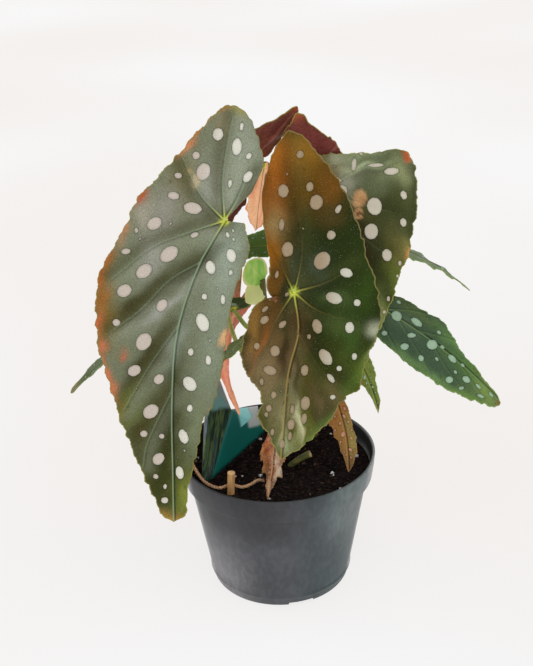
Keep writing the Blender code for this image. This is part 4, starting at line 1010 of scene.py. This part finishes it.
green_under = under_skin("green_underside", (140, 130, 84))
LOW_RIGHT_LEAF = {
    "joint": (60, 22, 173), "tip": (142, 30, 98), "face": (-0.1, -0.65, 0.75), "droop": 30,
    "left": [
        (-10, 5), (-18, 0), (-14, -10), (2, -16), (20, -19), (38, -21), (58, -20), (72, -18.5), (84, -15),
        (98, -10.5), (108, -6.5), (114, -2), (114, 0),
    ],
    "right": [(2, 8), (12, 12), (30, 13.5), (45, 15.5), (56, 11), (75, 6), (94, 3.5), (108, 2), (114, 0)],
    "rib": [(0, 0), (50, 1), (114, 0)], "fold": (0.1, 0.1), "wave": 1.0, "pleat": 0.8, "grid": (200, 20),
    "quilt": 1.0, "stalk": ("cane_right", 168),
    "veins": [
        [(0, 0), (12, -10), (26, -18)], [(16, 1), (36, -9), (54, -18)], [(42, 1), (62, -8), (82, -13)],
        [(66, 1), (88, -5), (100, -8)], [(8, 0), (22, 8), (34, 13)], [(34, 1), (50, 7), (60, 10)],
    ],
    "vein_tint": (108, 136, 84), "valley": ((52, 74, 52), 0.3), "base": (64, 84, 62),
    "washes": [
        (-10, -4, 12, 10, (54, 68, 14)), (20, 10, 26, 4, (88, 104, 62)), (50, -19, 44, 4, (104, 134, 80)),
        (58, 10, 14, 4, (106, 140, 80)), (52, -3, 16, 6, (70, 90, 66)), (74, 2, 18, 7, (84, 116, 60)),
        (98, -3, 16, 10, (118, 142, 72)), (84, -14, 18, 3, (110, 140, 70), 15),
        (20, 0, 14, 5, (84, 104, 78)), (114, 0, 3, 5, (140, 92, 48)),
    ],
    "spots": [
        (14, 9, 3, 2), (17, 1, 7, 6), (30, 5, 8, 4), (46, 8, 3, 2), (15, -13, 4, 3, 40),
        (31, -4, 6, 3, 35), (30, -13, 6, 4, 40), (46, -1, 8, 6, 40), (53, 2, 3, 2), (63, 0, 7, 4),
        (53, -7, 3, 2), (43, -13, 4, 4), (72, 1, 3, 2), (69, -6, 3, 2), (79, -5, 7, 4, 20),
        (67, -13, 6, 4, 40), (90, -3, 5, 2), (78, -12, 5, 2, 40), (103, -1, 5, 2), (95, -7, 7, 2, 20),
    ],
    "dots": (18, 1.8, 6),
}
SIDE_RIGHT_LEAF = {
    "joint": (61, 30, 209.3), "tip": (125, 52, 165), "face": (0, -0.08, 1), "droop": 24,
    "left": [(3, -6), (12, -10), (30, -9), (50, -6), (66, -3), (77, -1.2), (80, 0)],
    "right": [(-6, -5), (-12, 2), (-8, 10), (8, 13), (30, 11), (48, 9), (66, 3), (77, 1.2), (80, 0)],
    "rib": [(0, 0), (30, 2), (80, 0)], "cup": (-0.1, -0.1), "wave": 0.8, "pleat": 0.5, "grid": (140, 12),
    "stalk": ("cane_right", 196), "vein_tint": (120, 140, 90), "base": (112, 128, 88),
    "washes": [(2, 0, 12, 14, (120, 92, 60)), (76, 0, 6, 6, (120, 120, 88))], "dots": (26, 4.2, 3),
}
SMALL_RIGHT_LEAF = {
    "joint": (47, 5, 149), "tip": (62, 0, 109), "face": (0.3, -0.8, 0.5), "droop": 15,
    "left": [(-2, -6), (10, -7), (20, -4), (30, -1), (43, 0)],
    "right": [(-3, 6), (8, 8), (18, 8), (28, 5), (36, 4), (43, 0)], "rib": [(0, 0), (20, 1), (43, 0)],
    "fold": (-0.2, -0.2), "wave": 0.5, "pleat": 0.3, "grid": (90, 9), "stalk": ("cane_right", 140),
    "stalk_size": 0.7, "vein_tint": (140, 152, 80), "base": (108, 124, 52),
    "washes": [
        (22, -5, 18, 2.5, (132, 70, 44)), (10, 4, 14, 4, (122, 136, 60)), (40, 0, 5, 4, (120, 84, 50)),
    ],
    "dots": (16, 3.0, 8),
}
BACK_MIDDLE_LEAF = {
    "joint": (2, 24, 211), "tip": (-40, 34, 198), "face": (0, -0.3, 1), "droop": 25,
    "left": [(-10, -5), (-7, -12), (8, -16), (20, -13), (33, -8), (45, 0)],
    "right": [(-3, 6), (4, 10), (17, 8), (30, 5), (45, 0)], "rib": [(0, 0), (20, -1), (45, 0)], "wave": 0.8,
    "pleat": 0.5, "grid": (100, 12), "stalk": ("cane_centre", 190), "stalk_size": 0.8,
    "vein_tint": (120, 150, 80), "base": (100, 138, 60), "dots": (24, 4.6, 5),
}
FAR_LEFT_LEAF = {
    "joint": (-23, -4, 183), "tip": (-126, 25, 119), "face": (-0.25, -0.05, 0.95), "droop": 35,
    "left": [
        (-4, 3), (-8, 0), (-9, -7), (0, -13), (25, -18), (52, -18), (80, -12), (100, -6.5), (116, -3.5),
        (128, -2.2), (130, 0),
    ],
    "right": [(1, 4), (14, 8), (45, 10), (75, 6), (100, 2.5), (116, 1.8), (128, 1.8), (130, 0)],
    "rib": [(0, 0), (40, -4), (85, -2.5), (130, 0)], "twist": -25, "wave": 1.0, "pleat": 0.8,
    "grid": (180, 16), "stalk": ("cane_left", 164), "vein_tint": (110, 130, 80), "base": (70, 88, 54),
    "washes": [
        (60, -16, 40, 4, (96, 112, 70)), (100, 0, 18, 12, (104, 112, 82)), (126, 0, 8, 8, (142, 116, 82)),
    ],
    "dots": (60, 5.0, 7),
}
LOW_LEFT_LEAF = {
    "joint": (-16, -15, 170), "tip": (-42, -30, 150), "face": (-0.3, 0.1, 0.9), "droop": 20,
    "left": [(-3, -4), (7, -7), (16, -5), (25, -3), (39, 0)],
    "right": [(-2, 4), (8, 8), (17, 6), (26, 4), (39, 0)], "rib": [(0, 0), (20, 0), (39, 0)], "wave": 0.5,
    "pleat": 0.3, "grid": (90, 9), "stalk": ("cane_left", 120), "stalk_size": 0.6,
    "vein_tint": (160, 176, 120), "base": (126, 146, 92), "dots": (14, 2.8, 11),
}
lively_skin = leaf_skin("side_leaf_skin", (150, 176, 150), (140, 166, 86), 0.38)
for name, leaf in (("leaf_low_right", LOW_RIGHT_LEAF), ("leaf_side_right", SIDE_RIGHT_LEAF),
                   ("leaf_small_right", SMALL_RIGHT_LEAF), ("leaf_back_middle", BACK_MIDDLE_LEAF),
                   ("leaf_far_left", FAR_LEFT_LEAF), ("leaf_low_left", LOW_LEFT_LEAF)):
    make_leaf(name, leaf, lively_skin, green_under, green_stalk)


# ---------------------------------------------------------------- leaves seen from behind
# Two mature blades at the back of the crown turn their maroon undersides to the front; the veins
# stand out mauve, and the upper skin shows only as a thin green line along the top edge.

BACK_LEFT_LEAF = {
    "joint": (-11, 22, 264), "tip": (-62, 40, 178), "face": (-0.25, 0.65, 0.7), "droop": 20,
    "left": [(4, -10), (17, -16), (44, -20), (70, -15), (90, -7), (102, 0)],
    "right": [
        (-5, -8), (-16, -9.5), (-30, -7), (-41, -3.5), (-48.5, 2), (-45, 7), (-31, 10.5), (-20, 17),
        (0, 26), (25, 32), (50, 29), (75, 18), (92, 7), (102, 0),
    ],
    "rib": [(0, 0), (30, 5), (65, 5), (102, 0)], "cup": (-0.05, -0.05), "wave": 1.0, "pleat": 1.0,
    "grid": (190, 26), "quilt": 1.4, "stalk": ("cane_centre", 212),
    "veins": [
        [(0, 0), (-20, -2), (-42, 0)], [(0, 0), (-12, 10), (-20, 18)], [(0, 0), (12, 16), (20, 30)],
        [(24, 4), (44, 18), (56, 27)], [(30, 4), (50, -8), (64, -15)], [(58, 5), (74, 12), (84, 13)],
    ],
    "vein_tint": (140, 150, 90), "base": (74, 84, 48),
    "washes": [(-40, 0, 12, 16, (120, 108, 44)), (90, 0, 20, 14, (104, 100, 50))], "dots": (46, 7.0, 13),
    "under": (150, 94, 70),
    "under_washes": [
        (-30, 2, 14, 9, (136, 66, 56)), (-46, 4, 4, 8, (176, 84, 50)), (40, 0, 40, 30, (120, 60, 50)),
    ],
}
BACK_RIGHT_LEAF = {
    "joint": (27, 29, 256), "tip": (60, 63, 184), "face": (0.2, 0.95, 0.2), "droop": 20,
    "left": [
        (-5, 8), (-20, 12), (-36, 6), (-49, -4), (-58.5, -12), (-55, -15), (-46, -15), (-37, -15),
        (-28, -19), (-15, -19.5), (0, -22), (25, -26), (50, -23), (72, -13), (90, 0),
    ],
    "right": [(4, 9), (18, 15), (42, 17), (65, 12), (82, 4), (90, 0)],
    "rib": [(0, 0), (30, -5), (65, -4), (90, 0)], "cup": (-0.05, -0.05), "wave": 1.0, "pleat": 1.0,
    "grid": (180, 24), "quilt": 1.4, "stalk": ("cane_centre", 232),
    "veins": [
        [(0, 0), (-18, 0), (-34, -4)], [(0, 0), (-10, -12), (-16, -20)], [(0, 0), (14, -14), (24, -25)],
        [(24, -4), (42, -15), (54, -21)], [(28, -4), (46, 8), (58, 13)],
    ],
    "vein_tint": (140, 150, 90), "base": (74, 84, 48),
    "washes": [(-34, -4, 10, 14, (120, 108, 44)), (80, 0, 16, 12, (104, 100, 50))], "dots": (40, 6.5, 17),
    "under": (142, 78, 68),
    "under_washes": [
        (-20, -10, 30, 12, (138, 66, 60)), (-54, -12, 6, 5, (170, 90, 50)), (30, 0, 30, 26, (120, 62, 52)),
    ],
}
maroon_under = under_skin("maroon_underside", (190, 120, 108), 0.45)
old_skin = leaf_skin("back_leaf_skin", (206, 200, 184), (168, 150, 72))
make_leaf("leaf_back_left", BACK_LEFT_LEAF, old_skin, maroon_under, green_stalk)
make_leaf("leaf_back_right", BACK_RIGHT_LEAF, old_skin, maroon_under, green_stalk)


# ---------------------------------------------------------------- salmon leaves
# Two that show their soft salmon underside: one long leaf inside the crown, which darkens to
# brown at its shoulder, and a folded new leaf at the tip of the middle cane.

INNER_LEAF = {
    "joint": (-20, 26, 176), "tip": (-23, 6, 105), "face": (0.1, 0.95, 0.05), "droop": 20,
    "left": [
        (-14, -9), (0, -8), (10, -2), (20, 4), (29, 6), (42, 7), (52, 6), (62, 2.5), (70, -0.3), (72, 0),
    ],
    "right": [(-20, -2), (-18, 10), (0, 19), (20, 20), (40, 15), (56, 8.5), (66, 3.6), (71, 0.8), (72, 0)],
    "rib": [(0, 0), (14, 5), (35, 9.5), (54, 7.3), (72, 0)], "cup": (0.0, -0.05), "wave": 1.0, "pleat": 0.7,
    "grid": (140, 16), "stalk": ("cane_left", 182), "vein_tint": (200, 150, 120), "base": (150, 98, 66),
    "dots": (18, 4.0, 21), "frill": 0.5, "under": (196, 122, 84),
    "under_washes": [
        (-12, 2, 12, 16, (118, 88, 50)), (10, 9, 14, 12, (178, 108, 108)), (28, 16, 9, 7, (190, 84, 60)),
        (40, 14, 14, 5, (198, 118, 62)), (46, 8, 14, 4, (236, 150, 128)), (66, 2, 12, 6, (228, 160, 118)),
    ],
}
YOUNG_LEAF = {
    "joint": (-3, 12, 265), "tip": (-9, 16, 223), "face": (-0.5, -0.8, 0.2), "droop": 10,
    "left": [(-2, -3), (10, -5), (20, -6), (33, -5), (42, 0)],
    "right": [(-2, 3), (12, 6), (31, 7), (42, 0)], "rib": [(0, 0), (20, 0), (42, 0)], "fold": (0.7, 0.7),
    "wave": 0.4, "pleat": 0.3, "grid": (100, 10), "stalk": ("cane_centre", 246), "stalk_size": 0.6,
    "vein_tint": (240, 190, 150), "base": (246, 196, 152),
    "washes": [
        (2, -3, 6, 3, (168, 84, 50)), (24, 4, 14, 1.6, (226, 150, 112)),
        (14, -3, 10, 1.4, (222, 150, 110)),
    ],
    "dots": (0, 1.0, 23), "under": (240, 186, 142),
    "under_washes": [(4, 0, 8, 8, (196, 92, 56)), (36, 3, 8, 4, (226, 150, 112))],
}
# Both salmon skins glow: emission of their own colour stands in for light shining through the thin leaves, a
# painted glow.
salmon_under = under_skin("salmon_underside", (238, 168, 132), 0.5, 0.35)
salmon_skin = leaf_skin("salmon_leaf_skin", (246, 218, 196), (222, 150, 110), 0.45, glow=0.45)
pink_stalk = stalk_skin("stalk_pink", (188, 104, 78), (150, 130, 66))
make_leaf("leaf_inner", INNER_LEAF, salmon_skin, salmon_under, pink_stalk)
make_leaf("leaf_young", YOUNG_LEAF, salmon_skin, salmon_under, pink_stalk)


# ---------------------------------------------------------------- ageing leaves
# Two old leaves low on the canes: one has turned orange-brown, and one is dried and crumpled and
# hangs down to the soil.

ORANGE_LEAF = {
    "joint": (35, 2, 122), "tip": (42, -21, 81), "face": (0.1, -0.95, 0.2), "droop": 20,
    "left": [(-4, -5), (6, -9), (18, -6), (29, -3), (40, -1), (48, 0)],
    "right": [(-3, 4), (5, 6), (14, 7), (25, 8), (33, 8), (44, 4), (48, 0)],
    "rib": [(0, 0), (25, 2), (48, 0)], "fold": (-0.3, -0.2), "wave": 0.8, "pleat": 0.4, "grid": (120, 14),
    "stalk": ("cane_right", 116), "stalk_size": 0.7, "vein_tint": (170, 130, 80), "base": (152, 114, 62),
    "washes": [
        (8, 0, 12, 9, (164, 108, 58)), (26, 6, 14, 3, (146, 134, 74)), (22, -5, 10, 2, (168, 116, 62)),
        (45, 0, 6, 6, (122, 96, 56)),
    ],
    "dots": (22, 3.4, 31),
}
WITHERED_LEAF = {
    "joint": (-2, -12, 108), "tip": (-7, -44, 78), "face": (0, -0.7, 0.7), "droop": 10,
    "left": [(-3, -3), (5, -3.5), (16, -6), (24, -5), (31, -1.8), (38, -1.4), (44, 0)],
    "right": [(-2, 3), (8, 5.5), (16, 7.5), (22, 7.8), (30, 5.5), (36, 2), (44, 0)],
    "rib": [(0, 0), (20, 1), (44, 0)], "fold": (-0.4, -0.5), "wave": 1.2, "pleat": 1.0, "grid": (180, 26),
    "crumple": 1.9, "frill": 1.8, "stalk": ("cane_left", 88), "stalk_size": 0.6,
    "vein_tint": (206, 160, 120), "base": (186, 132, 92),
    "washes": [
        (4, -1, 9, 6, (178, 84, 66)), (14, -4, 8, 3, (206, 138, 88)), (16, 4, 12, 2.4, (226, 196, 164), 8),
        (26, 5, 9, 2.6, (230, 206, 178)), (24, -2, 6, 2.4, (150, 92, 50), 10),
        (12, 1, 3, 1.6, (132, 66, 48)), (32, -2, 8, 2, (138, 98, 62), 6), (38, 1, 6, 2, (222, 188, 152)),
    ],
    "dots": (22, 2.4, 37),
}
dry_skin = leaf_skin("ageing_leaf_skin", (206, 150, 126), (176, 130, 84), 0.55)
dry_under = under_skin("ageing_underside", (182, 136, 100), 0.6)
dry_stalk = stalk_skin("stalk_dry", (150, 112, 74), (120, 84, 52))
make_leaf("leaf_orange", ORANGE_LEAF, dry_skin, dry_under, dry_stalk)
make_leaf("leaf_withered", WITHERED_LEAF, dry_skin, dry_under, dry_stalk)


# ---------------------------------------------------------------- plant label
# A glossy printed card, folded once and pushed into the soil at the back left. Its print is a plain
# design: a pale header over a dark streaked panel, and a teal panel with a pale grey patch; a bright
# cyan band on the teal panel is a painted highlight, and the palest streaks are partly painted highlights.

CARD_CORNERS = [(-47, -22, 74), (-41, -17, 76.5), (-8, 37, 77.5), (-12, 43, 93.5), (-28, 12, 108.5),
                (-35, 23, 125.5), (-43, 14, 119), (-41, 0, 113)]
CARD, STREAKED, TEAL = 0.5, (0, 1, 4, 5, 6, 7), (1, 2, 3, 4)
PANEL_ALONG, PANEL_ACROSS = (0.143, 0.625, 0.768), (0.70, 0.48, -0.52)
bm = bmesh.new()
corners = [bm.verts.new(mm(*corner)) for corner in CARD_CORNERS]
panels = [bm.faces.new([corners[k] for k in face]) for face in (STREAKED, TEAL)]
panels[1].material_index = 1
bmesh.ops.triangulate(bm, faces=bm.faces)
bmesh.ops.subdivide_edges(bm, edges=bm.edges, cuts=11, use_grid_fill=True)
streaked_print, streaked_shader, card = finish("label_streaked", Roughness=0.4, Specular_IOR_Level=0.2)
grain_across, grain_along = (
    card.node("ShaderNodeVectorMath", {"operation": "DOT_PRODUCT"}, {0: card, 1: axis}, "Value")
    for axis in (PANEL_ACROSS, PANEL_ALONG))
grain_place = card.node("ShaderNodeCombineXYZ", {}, {0: 420 * grain_across, 1: 34 * grain_along})
# The palest streaks are partly print and partly painted highlights on the glossy card.
streaks = ramp(cloud(grain_place, 1.0, 5), (0.3, 8, 18, 14), (0.42, 24, 56, 40), (0.5, 84, 108, 62),
               (0.56, 18, 40, 40), (0.64, 60, 84, 96), (0.74, 140, 138, 112))
header = soft(card.part("Z") + 0.012 * cloud(card, 60, 2), 0.1165, 0.1195)
header_tone = mix(soft(cloud(card, 70, 2, (1, 1, 0.4)), 0.4, 0.6), (118, 168, 164), (160, 160, 164))
wire(streaked_shader, Base_Color=mix(header, streaks, header_tone))
teal_print, teal_shader, card = finish("label_teal", Roughness=0.3, Specular_IOR_Level=0.3)
across, up = card.part("Y"), card.part("Z")
# highlight_band: a bright cyan band painted as a highlight on the glossy teal panel.
highlight_band = soft(up, 0.0925, 0.0932) * soft(across, 0.0155, 0.0185) * (1 - soft(across, 0.03, 0.032))
grey = soft(across, 0.022, 0.025) * soft(up + 0.4 * across, 0.0965, 0.099) * (1 - highlight_band)
teal = mix(soft(up, 0.078, 0.1), (22, 116, 104), (28, 108, 102))
wire(teal_shader, Base_Color=mix(grey, mix(highlight_band, teal, (150, 232, 232)), (196, 204, 202)))
thicken(piece("printed_label", bm, [streaked_print, teal_print], "label"), CARD)


# ---------------------------------------------------------------- pruned stub, stake and tie
# An old stem cut short at the front, a sawn-off bamboo stake by the rim, and the jute twine that
# once held it, three strands laid together with loose fibres, lying from the rim to the soil.

stub_skin, stub_shader, stub_place = finish("stub_bark", Roughness=0.55)
stub_grain = cloud(stub_place, 300, 4, (0.4, 1, 1))
bark_green = mix(soft(stub_grain, 0.35, 0.7), (74, 84, 30), (118, 112, 54))
wire(stub_shader, Base_Color=mix(soft(stub_place.part("X"), 0.0192, 0.0198), bark_green, (196, 168, 118)),
     Normal=bumped(stub_grain, 0.3))
STUB_RADIUS, STAKE_RADIUS = 2.15, 2.25
STUB = smooth_line([(5, 0, 56), (6.5, -1.5, 72), (12, -2.5, 79), (20, -3, 84)], 40)
bm = bmesh.new()
rod(bm, STUB, STUB_RADIUS + 0.15 * np.sin(np.linspace(0, 7, 40)), 20)
piece("pruned_stub", bm, [stub_skin], "stem_stub")

bamboo, bamboo_shader, bamboo_place = finish("bamboo", Roughness=0.5)
cane_grain = cloud(bamboo_place, 900, 5, (1, 1, 0.06))
straw = mix(soft(cane_grain, 0.3, 0.7), (186, 136, 80), (226, 180, 118))
wire(bamboo_shader, Base_Color=mix(soft(bamboo_place.part("Z"), 0.0893, 0.0897), straw, (232, 190, 132)),
     Normal=bumped(cane_grain, 0.25))
STAKE = smooth_line([(-30.0, -34.0, 52.0), (-28.6, -32.4, 80.0), (-28.0, -31.5, 90.0)], 30)
bm = bmesh.new()
rod(bm, STAKE, np.full(len(STAKE), STAKE_RADIUS), 24)
eased(bm, 0.2, 2, 60)
piece("bamboo_stake", bm, [bamboo], "stake")

jute, jute_shader, jute_place = finish("jute", Roughness=0.9, Specular_IOR_Level=0.15)
twine_grain = cloud(jute_place, 2200, 4)
wire(jute_shader, Base_Color=mix(soft(twine_grain, 0.3, 0.7), (168, 124, 88), (240, 202, 162)),
     Normal=bumped(twine_grain, 0.3))
TWINE = smooth_line([(-50, 7, 70), (-52, 4, 78), (-53.5, -3, 84.5), (-51, -14, 83.5), (-44.5, -26, 80.5),
                     (-36, -31, 79), (-29, -27.6, 78.8), (-22, -30.5, 78.8), (-17, -28, 78.8),
                     (-13, -23.5, 78.5), (-10, -20, 76), (-9, -18.5, 70)], 240)
STRANDS, TURNS, STRAND_RADIUS = 3, 17, 0.52
FIBRES, FRAYED_END = 170, 70
ahead, side, over = axes_along(TWINE, (0.2, 0.3, 0.93))
rng = np.random.default_rng(5)
bm = bmesh.new()
for k in range(STRANDS):
    angle = (np.linspace(0, math.tau * TURNS, len(TWINE)) + math.tau * k / STRANDS)[:, None]
    strand = TWINE + 0.5 * (np.cos(angle) * side + np.sin(angle) * over)
    rod(bm, strand, np.full(len(TWINE), STRAND_RADIUS), 7)
for k in range(FIBRES + FRAYED_END):
    at = rng.integers(4, 230) if k < FIBRES else rng.integers(205, 236)
    way = unit(rng.normal(size=3) + 0.8 * ahead[at])
    length, bow = rng.uniform(0.8, 2.6), rng.normal(size=3) * 0.5
    s = np.linspace(0, 1, 5)[:, None]
    rod(bm, TWINE[at] + way * s * length + bow * s * s, np.linspace(0.07, 0.03, 5), 3)
piece("jute_tie", bm, [jute], "tie")
